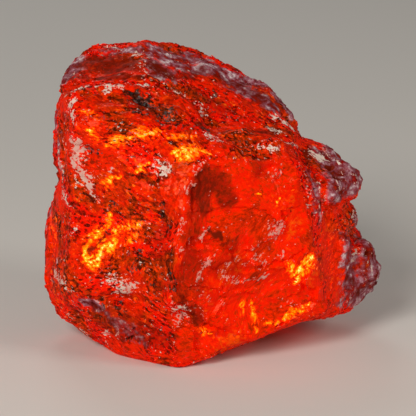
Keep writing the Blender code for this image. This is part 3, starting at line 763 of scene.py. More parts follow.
        # Clouds in the clear stone, 3 mm across, and fine crumbs of 0.25 mm.
        found["cloud"] = add_node(
            tree, "ShaderNodeTexNoise", {}, {"Vector": mm, "Scale": 1.0 / 3.2, "Detail": 2.0}
        ).outputs["Fac"]
        found["crumb"] = add_node(
            tree,
            "ShaderNodeTexNoise",
            {},
            {"Vector": mm, "Scale": 1.0 / 0.28, "Detail": 3.0, "Roughness": 0.7},
        ).outputs["Fac"]
        found["bumps"] = add_node(
            tree,
            "ShaderNodeTexNoise",
            {},
            {"Vector": mm, "Scale": 1.0 / 0.95, "Detail": 5.0, "Roughness": 0.68},
        ).outputs["Fac"]
        found["speck"] = add_node(
            tree,
            "ShaderNodeTexNoise",
            {},
            {"Vector": along, "Scale": 1.0 / 0.24, "Detail": 3.0, "Roughness": 0.65},
        ).outputs["Fac"]
        return found

    def colours(
        self, tree: bpy.types.NodeTree, fields: dict[str, bpy.types.NodeSocket]
    ) -> tuple[bpy.types.NodeSocket, bpy.types.NodeSocket]:
        """Adds the base colour, and a painted glow: emission that stands in for light shining through the
        stone.

        Args:
            tree: The material's node tree.
            fields: The patterns and marks by name.

        Returns:
            The base colour, and the emission colour.
        """
        # Broken skin: a mosaic of flakes, pure red in some patches and orange-brown in others.
        mixed = add_node(
            tree,
            "ShaderNodeMix",
            {},
            {0: 0.22, 2: fields["streak"], 3: fields["flake_tone"]},
        ).outputs[0]
        crumbed = add_node(
            tree, "ShaderNodeMix", {}, {0: 0.30, 2: mixed, 3: fields["crumb"]}
        ).outputs[0]
        pure = add_node(
            tree,
            "ShaderNodeValToRGB",
            {},
            {"Fac": crumbed},
            stops=(
                (0.38, "#3A0A02"),
                (0.44, "#9A0E00"),
                (0.48, "#F01000"),
                (0.57, "#FF1600"),
                (0.62, "#F43400"),
                (0.68, "#FF7A20"),
            ),
        ).outputs[0]
        brown = add_node(
            tree,
            "ShaderNodeValToRGB",
            {},
            {"Fac": crumbed},
            stops=(
                (0.38, "#1E0E06"),
                (0.44, "#5E1C02"),
                (0.50, "#A62A00"),
                (0.55, "#D23400"),
                (0.60, "#FA2200"),
                (0.67, "#FF7A14"),
            ),
        ).outputs[0]
        patch = add_node(
            tree, "ShaderNodeMix", {}, {0: 0.45, 2: fields["cloud"], 3: fields["streak"]}
        ).outputs[0]
        browned = add_node(
            tree,
            "ShaderNodeMapRange",
            {"interpolation_type": "SMOOTHSTEP"},
            {"Value": patch, "From Min": 0.47, "From Max": 0.55},
        ).outputs[0]
        mosaic = add_node(
            tree, "ShaderNodeMix", {"data_type": "RGBA"}, {0: browned, 6: pure, 7: brown}
        ).outputs[2]
        # Fresh break: smoother, in broad clouds of the same reds.
        smooth = add_node(
            tree, "ShaderNodeMix", {}, {0: 0.50, 2: fields["streak"], 3: fields["cloud"]}
        ).outputs[0]
        clear = add_node(
            tree,
            "ShaderNodeValToRGB",
            {},
            {"Fac": smooth},
            stops=(
                (0.38, "#A02000"),
                (0.45, "#D42C00"),
                (0.49, "#F42A00"),
                (0.52, "#FF1000"),
                (0.58, "#FF2200"),
                (0.64, "#F85006"),
            ),
        ).outputs[0]
        fresh_part = add_node(
            tree, "ShaderNodeMath", {"operation": "MULTIPLY"}, {0: fields["fresh"], 1: 0.8}
        ).outputs[0]
        red = add_node(
            tree, "ShaderNodeMix", {"data_type": "RGBA"}, {0: fresh_part, 6: mosaic, 7: clear}
        ).outputs[2]
        # Windows: a painted glow of light through clear thin parts, gold to pale yellow in streaks.
        veined = add_node(
            tree, "ShaderNodeMix", {}, {0: 0.5, 2: fields["speck"], 3: fields["streak"]}
        ).outputs[0]
        lift = add_node(
            tree,
            "ShaderNodeMapRange",
            {},
            {"Value": veined, "From Min": 0.40, "From Max": 0.60, "To Min": 0.38, "To Max": 1.20},
        ).outputs[0]
        light = add_node(
            tree, "ShaderNodeMath", {"operation": "MULTIPLY"}, {0: fields["glow_window"], 1: lift}
        ).outputs[0]
        gold = add_node(
            tree,
            "ShaderNodeValToRGB",
            {},
            {"Fac": light},
            stops=(
                (0.35, "#FF2A00"),
                (0.55, "#FF5000"),
                (0.70, "#FF8004"),
                (0.84, "#FFB01C"),
                (1.00, "#FFE484"),
            ),
        ).outputs[0]
        opened = add_node(
            tree,
            "ShaderNodeMapRange",
            {"interpolation_type": "SMOOTHSTEP"},
            {"Value": light, "From Min": 0.30, "From Max": 0.62},
        ).outputs[0]
        lit = add_node(
            tree, "ShaderNodeMix", {"data_type": "RGBA"}, {0: opened, 6: red, 7: gold}
        ).outputs[2]
        # Rind: frosted mauve with a painted pale sheen; its paler grains are painted glints and its dark
        # red hollows painted shade.
        frost_sheen_colour = add_node(
            tree,
            "ShaderNodeValToRGB",
            {},
            {"Fac": fields["bumps"]},
            stops=(
                (0.36, "#2C0505"),
                (0.44, "#661C20"),
                (0.50, "#8E4A56"),
                (0.57, "#AC7886"),
                (0.67, "#ECE0E0"),
            ),
        ).outputs[0]
        thick = add_node(
            tree,
            "ShaderNodeMath",
            {"operation": "MULTIPLY_ADD"},
            {0: fields["bumps"], 1: 1.8, 2: fields["rind_and_sheen"]},
        ).outputs[0]
        frost_and_sheen = add_node(
            tree,
            "ShaderNodeMapRange",
            {"interpolation_type": "SMOOTHSTEP"},
            {"Value": thick, "From Min": 1.15, "From Max": 1.95},
        ).outputs[0]
        fields["frost_and_sheen"] = frost_and_sheen
        skinned = add_node(
            tree, "ShaderNodeMix", {"data_type": "RGBA"}, {0: frost_and_sheen, 6: lit, 7: frost_sheen_colour}
        ).outputs[2]
        # Shade: dark red hollows and clouded parts, streaked as the flakes are.
        uneven = add_node(
            tree,
            "ShaderNodeMapRange",
            {},
            {"Value": fields["streak"], "From Min": 0.36, "From Max": 0.60, "To Min": 1.4, "To Max": 0.8},
        ).outputs[0]
        deep = add_node(
            tree, "ShaderNodeMath", {"operation": "MULTIPLY"}, {0: fields["shade"], 1: uneven}
        ).outputs[0]
        shaded = add_node(
            tree,
            "ShaderNodeMix",
            {"data_type": "RGBA"},
            {0: deep, 6: skinned, 7: linear("#6E1604")},
        ).outputs[2]
        # Dirt: grains and iron stain, in specks of 0.2 to 0.5 mm.
        stain = add_node(
            tree,
            "ShaderNodeMath",
            {"operation": "MULTIPLY_ADD"},
            {0: fields["speck"], 1: 2.2, 2: fields["dirt"]},
        ).outputs[0]
        dirty = add_node(
            tree,
            "ShaderNodeMapRange",
            {"interpolation_type": "SMOOTHSTEP"},
            {"Value": stain, "From Min": 1.70, "From Max": 1.84},
        ).outputs[0]
        dark = add_node(
            tree,
            "ShaderNodeValToRGB",
            {},
            {"Fac": fields["flake_tone"]},
            stops=((0.10, "#140A06"), (0.45, "#3E1608"), (0.70, "#5A2410"), (0.95, "#5E5654")),
        ).outputs[0]
        stained = add_node(
            tree, "ShaderNodeMix", {"data_type": "RGBA"}, {0: dirty, 6: shaded, 7: dark}
        ).outputs[2]
        # Scuffs and painted glints: crushed stone, white where it is thick and pink where it is thin,
        # with painted white glints among it.
        ragged = add_node(
            tree, "ShaderNodeMix", {}, {0: 0.6, 2: fields["crumb"], 3: fields["speck"]}
        ).outputs[0]
        crushed_and_glint = add_node(
            tree,
            "ShaderNodeMath",
            {"operation": "MULTIPLY_ADD"},
            {0: ragged, 1: 7.0, 2: fields["scuff_and_glint"]},
        ).outputs[0]
        spared = add_node(
            tree,
            "ShaderNodeMath",
            {"operation": "MULTIPLY_ADD"},
            {0: fields["fresh"], 1: -0.14, 2: crushed_and_glint},
        ).outputs[0]
        worn_and_glint = add_node(
            tree,
            "ShaderNodeMapRange",
            {"interpolation_type": "SMOOTHSTEP"},
            {"Value": spared, "From Min": 4.22, "From Max": 4.54},
        ).outputs[0]
        powder_and_glint = add_node(
            tree,
            "ShaderNodeValToRGB",
            {},
            {"Fac": worn_and_glint},
            stops=((0.15, "#D24020"), (0.45, "#DC9480"), (1.00, "#EEDFD0")),
        ).outputs[0]
        thin = add_node(
            tree, "ShaderNodeMath", {"operation": "MULTIPLY"}, {0: fields["fresh"], 1: 0.6}
        ).outputs[0]
        powder_and_glint = add_node(
            tree, "ShaderNodeMix", {"data_type": "RGBA"}, {0: thin, 6: powder_and_glint, 7: linear("#DC5440")}
        ).outputs[2]
        base = add_node(
            tree, "ShaderNodeMix", {"data_type": "RGBA"}, {0: worn_and_glint, 6: stained, 7: powder_and_glint}
        ).outputs[2]
        fields["dirty"] = dirty
        fields["worn_and_glint"] = worn_and_glint
        # Painted glow, an emission that stands in for light shining through the stone: dim red
        # everywhere, strong in the windows, none through dirt or rind.
        strength = add_node(
            tree,
            "ShaderNodeMapRange",
            {},
            {"Value": opened, "To Min": self.glow, "To Max": 0.85},
        ).outputs[0]
        strength = add_node(
            tree, "ShaderNodeMath", {"operation": "MULTIPLY"}, {0: strength, 1: fields["painted_glow_share"]}
        ).outputs[0]
        for blocker, share in (("dirty", 0.95), ("worn_and_glint", 0.75), ("frost_and_sheen", 0.9), ("shade", 0.85)):
            kept = add_node(
                tree,
                "ShaderNodeMapRange",
                {},
                {"Value": fields[blocker], "To Min": 1.0, "To Max": 1.0 - share},
            ).outputs[0]
            strength = add_node(
                tree, "ShaderNodeMath", {"operation": "MULTIPLY"}, {0: strength, 1: kept}
            ).outputs[0]
        glow = add_node(
            tree, "ShaderNodeVectorMath", {"operation": "SCALE"}, {0: lit, "Scale": strength}
        ).outputs[0]
        return base, glow

    def gloss(
        self, tree: bpy.types.NodeTree, fields: dict[str, bpy.types.NodeSocket]
    ) -> bpy.types.NodeSocket:
        """Adds the roughness: glassy flakes, a dull rind and matt crushed edges.

        Args:
            tree: The material's node tree.
            fields: The patterns and marks by name.

        Returns:
            The roughness.
        """
        flakes = add_node(
            tree,
            "ShaderNodeMapRange",
            {},
            {
                "Value": fields["flake_tone"],
                "To Min": self.roughness - 0.12,
                "To Max": self.roughness + 0.12,
            },
        ).outputs[0]
        rough = add_node(
            tree, "ShaderNodeMix", {}, {0: fields["fresh"], 2: flakes, 3: self.fresh_roughness}
        ).outputs[0]
        for mark, value in (
            ("frost_and_sheen", 0.48),
            ("shade", 0.50),
            ("dirty", 0.42),
            ("worn_and_glint", 0.62),
        ):
            rough = add_node(
                tree, "ShaderNodeMix", {}, {0: fields[mark], 2: rough, 3: value}
            ).outputs[0]
        return rough

    def relief(
        self,
        tree: bpy.types.NodeTree,
        mm: bpy.types.NodeSocket,
        fields: dict[str, bpy.types.NodeSocket],
    ) -> bpy.types.NodeSocket:
        """Adds the bump: flat flakes that lean each its own way, and fine hackle.

        Args:
            tree: The material's node tree.
            mm: Object coordinates in millimetres.
            fields: The patterns and marks by name.

        Returns:
            The bumped normal.
        """
        across = add_node(
            tree,
            "ShaderNodeVectorMath",
            {"operation": "SUBTRACT"},
            {0: fields["along"], 1: fields["flake_place"]},
        ).outputs[0]
        lean = add_node(
            tree,
            "ShaderNodeVectorMath",
            {"operation": "SUBTRACT"},
            {0: fields["flake_colour"], 1: (0.5, 0.5, 0.5)},
        ).outputs[0]
        flat = add_node(
            tree, "ShaderNodeVectorMath", {"operation": "DOT_PRODUCT"}, {0: across, 1: lean}
        ).outputs["Value"]
        calm = add_node(
            tree,
            "ShaderNodeMapRange",
            {},
            {"Value": fields["fresh"], "To Min": 0.5, "To Max": 0.12},
        ).outputs[0]
        flakes = add_node(
            tree,
            "ShaderNodeBump",
            {},
            {"Strength": calm, "Distance": 0.5 * MM, "Height": flat},
        ).outputs[0]
        fine = add_node(
            tree,
            "ShaderNodeTexNoise",
            {},
            {"Vector": mm, "Scale": 1.0 / 0.22, "Detail": 2.0},
        ).outputs["Fac"]
        return add_node(
            tree,
            "ShaderNodeBump",
            {},
            {"Strength": 0.35, "Distance": 0.10 * MM, "Height": fine, "Normal": flakes},
        ).outputs[0]


@dataclass(frozen=True)
class GalenaGrain:
    """Galena: lead sulphide, lead-grey with a dull metallic gloss, in grains too small to see into."""

    name: str = "galena_grain"
    fresh: str = "#6E6A68"
    tarnish: str = "#1C1512"

    def material(self) -> bpy.types.Material:
        """Builds the material.

        Returns:
            The finished material.
        """
        material = bpy.data.materials.new(self.name)
        material.use_nodes = True
        tree = material.node_tree
        tree.nodes.clear()
        place = add_node(tree, "ShaderNodeTexCoord").outputs["Object"]
        # Tarnish comes in patches of about 1.2 mm.
        patch = add_node(
            tree, "ShaderNodeTexNoise", {}, {"Vector": place, "Scale": 1.0 / (1.2 * MM), "Detail": 2.0}
        ).outputs["Fac"]
        colour = add_node(
            tree,
            "ShaderNodeValToRGB",
            {},
            {"Fac": patch},
            stops=((0.42, self.tarnish), (0.60, self.fresh)),
        ).outputs[0]
        rough = add_node(
            tree, "ShaderNodeMapRange", {}, {"Value": patch, "To Min": 0.55, "To Max": 0.22}
        ).outputs[0]
        shader = add_node(
            tree,
            "ShaderNodeBsdfPrincipled",
            {},
            {"Base Color": colour, "Roughness": rough, "Metallic": 0.85},
        )
        add_node(tree, "ShaderNodeOutputMaterial", {}, {"Surface": shader.outputs[0]})
        return material


@dataclass(frozen=True)
class StudioPaper:
    """Matt backdrop paper in a pale warm grey, with a fibre too fine to see."""

    name: str = "studio_paper"
    colour: str = "#DCD9D4"

    def material(self) -> bpy.types.Material:
        """Builds the material.

        Returns:
            The finished material.
        """
        material = bpy.data.materials.new(self.name)
        material.use_nodes = True
        shader = material.node_tree.nodes["Principled BSDF"]
        shader.inputs["Base Color"].default_value = linear(self.colour)
        shader.inputs["Roughness"].default_value = 0.9
        shader.inputs["Specular IOR Level"].default_value = 0.1
        return material


@dataclass
class StoneSkin:
    """The stone's outer skin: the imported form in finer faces, with its close relief and marks."""

    view: PhotoView
    cell: float = 0.203
    calming_rounds: int = 6
    foot_height: float = 0.7
    coarse_flake: float = 1.15
    fine_flake: float = 0.52
    break_facet: float = 3.6
    flake_lean: float = 0.34
    flake_step: float = 0.07
    grain_height: float = 0.05
    hackle_height: float = 0.035
    lump_height: float = 0.16
    lump_width: float = 1.4
    pit_depth: float = 0.32
    stroke_bend: float = 0.5
    stroke_fray: float = 0.28
    thin_reach: float = 3.0
    ridge_height: float = 0.18
    front_facing: tuple[float, float, float] = (-0.45, -0.89, 0.0)
    fresh_facing: tuple[float, float, float] = (0.36, -0.93, 0.0)
    hackle_centre: tuple[float, float, float] = (-2.0, -11.0, 21.0)
    points: np.ndarray = field(default_factory=lambda: np.zeros((0, 3)))
    facing: np.ndarray = field(default_factory=lambda: np.zeros((0, 3)))
    edges: np.ndarray = field(default_factory=lambda: np.zeros((0, 2), int))
    marks: dict[str, np.ndarray] = field(default_factory=dict)

    def build(self, finish: GemSphalerite) -> bpy.types.Object:
        """Makes the skin.

        Args:
            finish: The stone's finish.

        Returns:
            The skin object.
        """
        mesh = self.fine_copy()
        self.read(mesh)
        self.draw_marks()
        self.find_wear(rounds=10, edge=(0.045, 0.11), amount=0.85)
        self.carve(mesh)
        self.read(mesh)
        self.find_wear(rounds=3, edge=(0.025, 0.080), amount=0.55)
        for name, values in self.marks.items():
            layer = mesh.attributes.new(name, "FLOAT", "POINT")
            layer.data.foreach_set("value", values.astype(np.float32))
        split = mesh.attributes.new("split_facing", "FLOAT_VECTOR", "POINT")
        leaning = 0.5 * self.facing + 0.5 * self.split_facing(self.facing)
        split.data.foreach_set("vector", leaning.astype(np.float32).ravel())
        mesh.materials.clear()
        mesh.materials.append(finish.material())
        mesh.shade_smooth()
        mesh.set_sharp_from_angle(angle=math.radians(40.0))
        skin = bpy.data.objects.new("stone_skin", mesh)
        bpy.context.scene.collection.objects.link(skin)
        return skin

    def fine_copy(self) -> bpy.types.Mesh:
        """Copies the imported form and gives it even, finer faces.

        Returns:
            The new mesh.
        """
        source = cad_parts[STONE_NODE].data.copy()
        merged = bmesh.new()
        merged.from_mesh(source)
        bmesh.ops.remove_doubles(merged, verts=merged.verts, dist=0.001 * MM)
        merged.to_mesh(source)
        merged.free()
        draft = bpy.data.objects.new("skin_draft", source)
        bpy.context.scene.collection.objects.link(draft)
        remesh = draft.modifiers.new("even_faces", "REMESH")
        remesh.mode = "VOXEL"
        remesh.voxel_size = self.cell * MM
        calm = draft.modifiers.new("calm_facets", "SMOOTH")
        calm.factor = 0.5
        calm.iterations = self.calming_rounds
        bpy.context.view_layer.update()
        evaluated = draft.evaluated_get(bpy.context.evaluated_depsgraph_get())
        mesh = bpy.data.meshes.new_from_object(evaluated)
        mesh.name = "stone_skin"
        bpy.data.objects.remove(draft)
        return mesh

    def read(self, mesh: bpy.types.Mesh) -> None:
        """Reads the mesh's points in millimetres, its smoothed facing and its edges.

        Args:
            mesh: The skin's mesh.
        """
        count = len(mesh.vertices)
        places = np.empty(count * 3)
        mesh.vertices.foreach_get("co", places)
        self.points = places.reshape(-1, 3) / MM
        normals = np.empty(count * 3)
        mesh.vertices.foreach_get("normal", normals)
        pairs = np.empty(len(mesh.edges) * 2, dtype=int)
        mesh.edges.foreach_get("vertices", pairs)
        self.edges = pairs.reshape(-1, 2)
        self.facing = self.spread(normals.reshape(-1, 3), 12)
        self.facing /= np.linalg.norm(self.facing, axis=1, keepdims=True)

    def spread(self, values: np.ndarray, rounds: int) -> np.ndarray:
        """Averages values with their neighbours over the skin.

        Args:
            values: One value or vector for each point.
            rounds: How many times they are averaged.

        Returns:
            The averaged values.
        """
        columns = values.reshape(len(values), -1).astype(float)
        first, second = self.edges[:, 0], self.edges[:, 1]
        count = np.bincount(self.edges.ravel(), minlength=len(values))[:, None] + 1.0
        for _ in range(rounds):
            total = columns.copy()
            for axis in range(columns.shape[1]):
                total[:, axis] += np.bincount(first, columns[second, axis], len(values))
                total[:, axis] += np.bincount(second, columns[first, axis], len(values))
            columns = total / count
        return columns.reshape(values.shape)

    def split_facing(self, facing: np.ndarray) -> np.ndarray:
        """Finds, for each facing, the cleavage plane that is nearest to it.

        Args:
            facing: Unit vectors.

        Returns:
            The unit vectors of the planes, pointing the same way as facing.
        """
        turn = np.array(CRYSTAL_TURN.to_matrix())
        planes = np.array(CLEAVAGE_PLANES, float) @ turn.T / math.sqrt(2.0)
        both = np.vstack([planes, -planes])
        return both[np.argmax(facing @ both.T, axis=1)]

    def draw_marks(self) -> None:
        """Draws the photograph's marks on the skin, and rules of the same kinds on its hidden sides."""
        tree = BVHTree.FromPolygons(*self.polygons())
        bent = self.points + self.stroke_bend * sway(self.points, 1.5, seed=1.0)
        bent += self.stroke_fray * sway(self.points, 0.55, seed=2.0)
        uneven = wobble(self.points, 0.5, 2, seed=3.0)
        for mark, strokes in MARKS.items():
            total = np.zeros(len(self.points))
            for stroke in strokes.values():
                near = self.distance_to(tree, stroke, bent) + 0.35 * uneven
                if mark.is_thin():
                    drawn = np.clip(1.0 - near / self.thin_reach, 0.0, 1.0)
                else:
                    drawn = smooth_step(1.6, 0.5, near)
                total = np.maximum(total, stroke.strength * drawn)
            self.marks[mark.value] = total
        self.draw_hidden_sides()

    def polygons(self) -> tuple[list[Vector], list[tuple[int, ...]]]:
        """Gives the skin's points and faces, as the ray test needs them."""
        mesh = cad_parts[STONE_NODE].data
        places = [v.co / MM for v in mesh.vertices]
        return places, [tuple(p.vertices) for p in mesh.polygons]

    def distance_to(self, tree: BVHTree, stroke: Stroke, points: np.ndarray) -> np.ndarray:
        """Measures how far each point is from a stroke, which is thinner towards its ends.

        Args:
            tree: The stone's form, for finding what a pixel shows.
            stroke: The stroke.
            points: The skin's points, in millimetres.

        Returns:
            Distances, as shares of the stroke's half width.
        """
        start, end = (self.seen(tree, pixel) for pixel in (stroke.start, stroke.end))
        along = np.array(end - start)
        length = max(float(along @ along), 1e-9)
        offset = points - np.array(start)
        share = np.clip(offset @ along / length, 0.0, 1.0)
        width = stroke.width * self.view.pixel_size() * (0.6 + 0.5 * np.sin(math.pi * share))
        return np.linalg.norm(offset - share[:, None] * along, axis=1) / width

    def seen(self, tree: BVHTree, pixel: tuple[float, float]) -> Vector:
        """Finds the place on the stone that a pixel shows, or the nearest one beside it.

        Args:
            tree: The stone's form.
            pixel: The pixel.

        Returns:
            The place in millimetres.
        """
        origin = self.view.place() / MM
        direction = self.view.ray(pixel)
        hit = tree.ray_cast(origin, direction)[0]
        if hit is None:
            hit = tree.find_nearest(origin + direction * self.view.distance)[0]
        return hit

    def draw_hidden_sides(self) -> None:
        """Marks the sides that the photograph doesn't show, with patches of the same kinds."""
        hidden = smooth_step(-0.10, 0.30, self.facing[:, 1])
        left = smooth_step(-0.80, -0.95, self.facing[:, 0]) * smooth_step(-7.0, -3.0, self.points[:, 1])
        hidden = np.maximum(hidden, left)
        hidden *= smooth_step(0.75, 0.55, self.facing[:, 2])
        broad = wobble(self.points, 5.0, 3, seed=3.0)
        patch = wobble(self.points, 3.2, 3, seed=4.0)
        other = wobble(self.points, 2.6, 3, seed=5.0)
        fine = wobble(self.points, 0.9, 3, seed=16.0)
        # Hidden sides get random patches: painted glow windows, dark specks, painted shade, and rind with
        # its painted pale sheen.
        rules = {
            Mark.WINDOW: 0.85 * smooth_step(0.26, 0.85, patch + 0.2 * fine),
            Mark.DIRT: 0.7 * smooth_step(0.20, 0.60, other),
            Mark.SHADE: 0.6 * smooth_step(0.05, 0.45, -broad),
            Mark.RIND_AND_SHEEN: 0.75 * smooth_step(0.12, 0.62, broad + 0.5 * fine),
        }
        for mark, values in rules.items():
            self.marks[mark.value] = np.maximum(self.marks[mark.value], values * hidden)
        right, up = self.points[:, 0] + 0.5 * patch, self.points[:, 2]
        end = smooth_step(13.2, 14.3, right)
        end = np.maximum(end, smooth_step(9.8, 11.0, right) * smooth_step(13.8, 15.0, up))
        self.marks[Mark.RIND_AND_SHEEN.value] = np.maximum(self.marks[Mark.RIND_AND_SHEEN.value], 0.95 * end)
        fresh = smooth_step(0.80, 0.95, self.facing @ np.array(self.fresh_facing))
        fresh *= smooth_step(12.0, 10.0, self.points[:, 0])
        clean = (0.6 + 0.35 * hidden) * smooth_step(0.0, 0.35, wobble(self.points, 4.0, 3, seed=15.0))
        fresh = np.maximum(fresh, clean * (1.0 - self.marks[Mark.RIND_AND_SHEEN.value]))
        self.marks["fresh"] = np.maximum(fresh, 0.8 * self.marks[Mark.CALM.value])
        etched = 1.0 - self.marks["fresh"]
        bare = 1.0 - 0.9 * self.marks[Mark.RIND_AND_SHEEN.value]
        for mark, least in ((Mark.SCUFF_AND_GLINT, 0.03), (Mark.DIRT, 0.40)):
            self.marks[mark.value] = np.maximum(self.marks[mark.value], least * etched * bare)
        # Share of the painted glow: most on faces turned to the front, less on faces turned up.
        front = smooth_step(0.50, -0.20, self.facing[:, 1])
        upward = smooth_step(0.35, 0.75, self.facing[:, 2])
        self.marks["painted_glow_share"] = (0.45 + 0.55 * front) * (1.0 - 0.45 * upward)

    def carve(self, mesh: bpy.types.Mesh) -> None:
        """Raises and sinks the skin into flakes, hackle, lumps and pits.

        Args:
            mesh: The skin's mesh.
        """
        points, facing = self.points, self.facing
        fresh, rind_and_sheen = self.marks["fresh"], self.marks[Mark.RIND_AND_SHEEN.value]
        etched = (1.0 - fresh) * (1.0 - 0.6 * rind_and_sheen) * (1.0 - 0.85 * self.marks[Mark.CALM.value])
        band = self.marks[Mark.SCUFF_AND_GLINT.value] * fresh
        height = self.flakes(self.coarse_flake, 0.0) * (0.55 * etched + 0.4 * band)
        height += self.flakes(self.fine_flake, 5.0) * (0.6 * etched + 0.8 * band + 0.1 * fresh)
        height += self.grain_height * wobble(points, 0.9, 3, seed=6.0) * (1.0 - 0.7 * fresh)
        height += self.flakes(self.break_facet, 11.0) * 0.5 * fresh * (1.0 - self.marks[Mark.CALM.value])
        height += self.hackle() * fresh
        height += self.lumps() * rind_and_sheen * (1.0 - self.marks[Mark.CALM.value])
        height += self.ridge_height * self.marks[Mark.RIDGE.value]
        height -= self.pit_depth * self.marks[Mark.PIT.value]
        height *= smooth_step(0.0, self.foot_height, points[:, 2])
        moved = points + facing * height[:, None]
        low, high = (np.array(corner) / MM for corner in cad_box)
        moved = np.clip(moved, low, high)
        mesh.vertices.foreach_set("co", (moved * MM).ravel())
        mesh.update()

    def flakes(self, size: float, seed: float) -> np.ndarray:
        """Gives the heights of cleavage flakes: flat steps that lean towards the cleavage planes.

        Args:
            size: The width of a flake in millimetres.
            seed: Moves the pattern elsewhere.

        Returns:
            Heights in millimetres.
        """
        streak = np.diag((0.62, 0.9, 1.25)) / size
        shifted = self.points @ streak.T + seed
        centres = np.array([noise.voronoi(Vector(p))[1][0] for p in shifted])
        middle = (centres - seed) @ np.linalg.inv(streak).T
        lot = np.abs(np.modf(np.sin(centres @ np.array((12.9898, 78.233, 37.719))) * 43758.5453)[0])
        plane = self.split_facing(self.facing)
        along = np.sum(plane * self.facing, axis=1, keepdims=True)
        slope = -(plane - along * self.facing) / along
        lean = np.sum((self.points - middle) * slope, axis=1) * self.flake_lean
        return np.clip(lean, -0.3 * size, 0.3 * size) + self.flake_step * (lot - 0.5) * 2.0

    def lumps(self) -> np.ndarray:
        """Gives the heights of the rind's lumps, which are bent and come in two sizes."""
        bent = self.points + 0.5 * sway(self.points, 1.1, seed=14.0)
        large = np.maximum(1.0 - 2.0 * cell_distance(bent, self.lump_width, seed=7.0), -0.4)
        small = np.maximum(1.0 - 2.0 * cell_distance(bent, 0.45 * self.lump_width, seed=8.0), -0.4)
        return self.lump_height * (large + 0.45 * small)

    def hackle(self) -> np.ndarray:
        """Gives the fresh break's low ribs: arcs around the point where the crack began."""
        offset = self.points - np.array(self.hackle_centre)
        reach = np.linalg.norm(offset, axis=1) + 0.8 * wobble(self.points, 3.0, 2, seed=8.0)
        spin = np.arctan2(offset[:, 2], offset[:, 0]) * 38.0
        arcs = np.sin(reach * 2.0 * math.pi / 2.6)
        rays = np.sin(spin + 2.0 * wobble(self.points, 2.0, 2, seed=9.0))
        return self.hackle_height * (arcs + 0.5 * rays * smooth_step(6.0, 14.0, reach))

    def find_wear(self, rounds: int, edge: tuple[float, float], amount: float) -> None:
        """Whitens the skin's edges and darkens its hollows, from how it curves, with painted shade in the
        rind's hollows.

        Args:
            rounds: How far around a point its neighbours are averaged.
            edge: How far a point stands out where scuffing starts, and where it is full.
            amount: How strong the scuffing is.
        """
        mean = self.spread(self.points, rounds)
        bulge = np.sum((self.points - mean) * self.facing, axis=1)
        broken = wobble(self.points, 1.6, 3, seed=10.0 + rounds)
        fresh, rind_and_sheen = self.marks["fresh"], self.marks[Mark.RIND_AND_SHEEN.value]
        raised = smooth_step(*edge, bulge) * smooth_step(-0.15, 0.35, broken)
        hollow = smooth_step(*edge, -bulge) * smooth_step(-0.25, 0.35, -broken)
        found = {
            Mark.SCUFF_AND_GLINT: amount * raised * (1.0 - 0.4 * fresh) * (1.0 - 0.3 * rind_and_sheen),
            Mark.DIRT: amount * hollow * (1.0 - 0.8 * fresh) * (1.0 - 0.8 * rind_and_sheen),
            # Painted shade, dark red, in the rind's hollows.
            Mark.SHADE: 0.9 * hollow * rind_and_sheen,
        }
        for mark, values in found.items():
            self.marks[mark.value] = np.maximum(self.marks[mark.value], values)


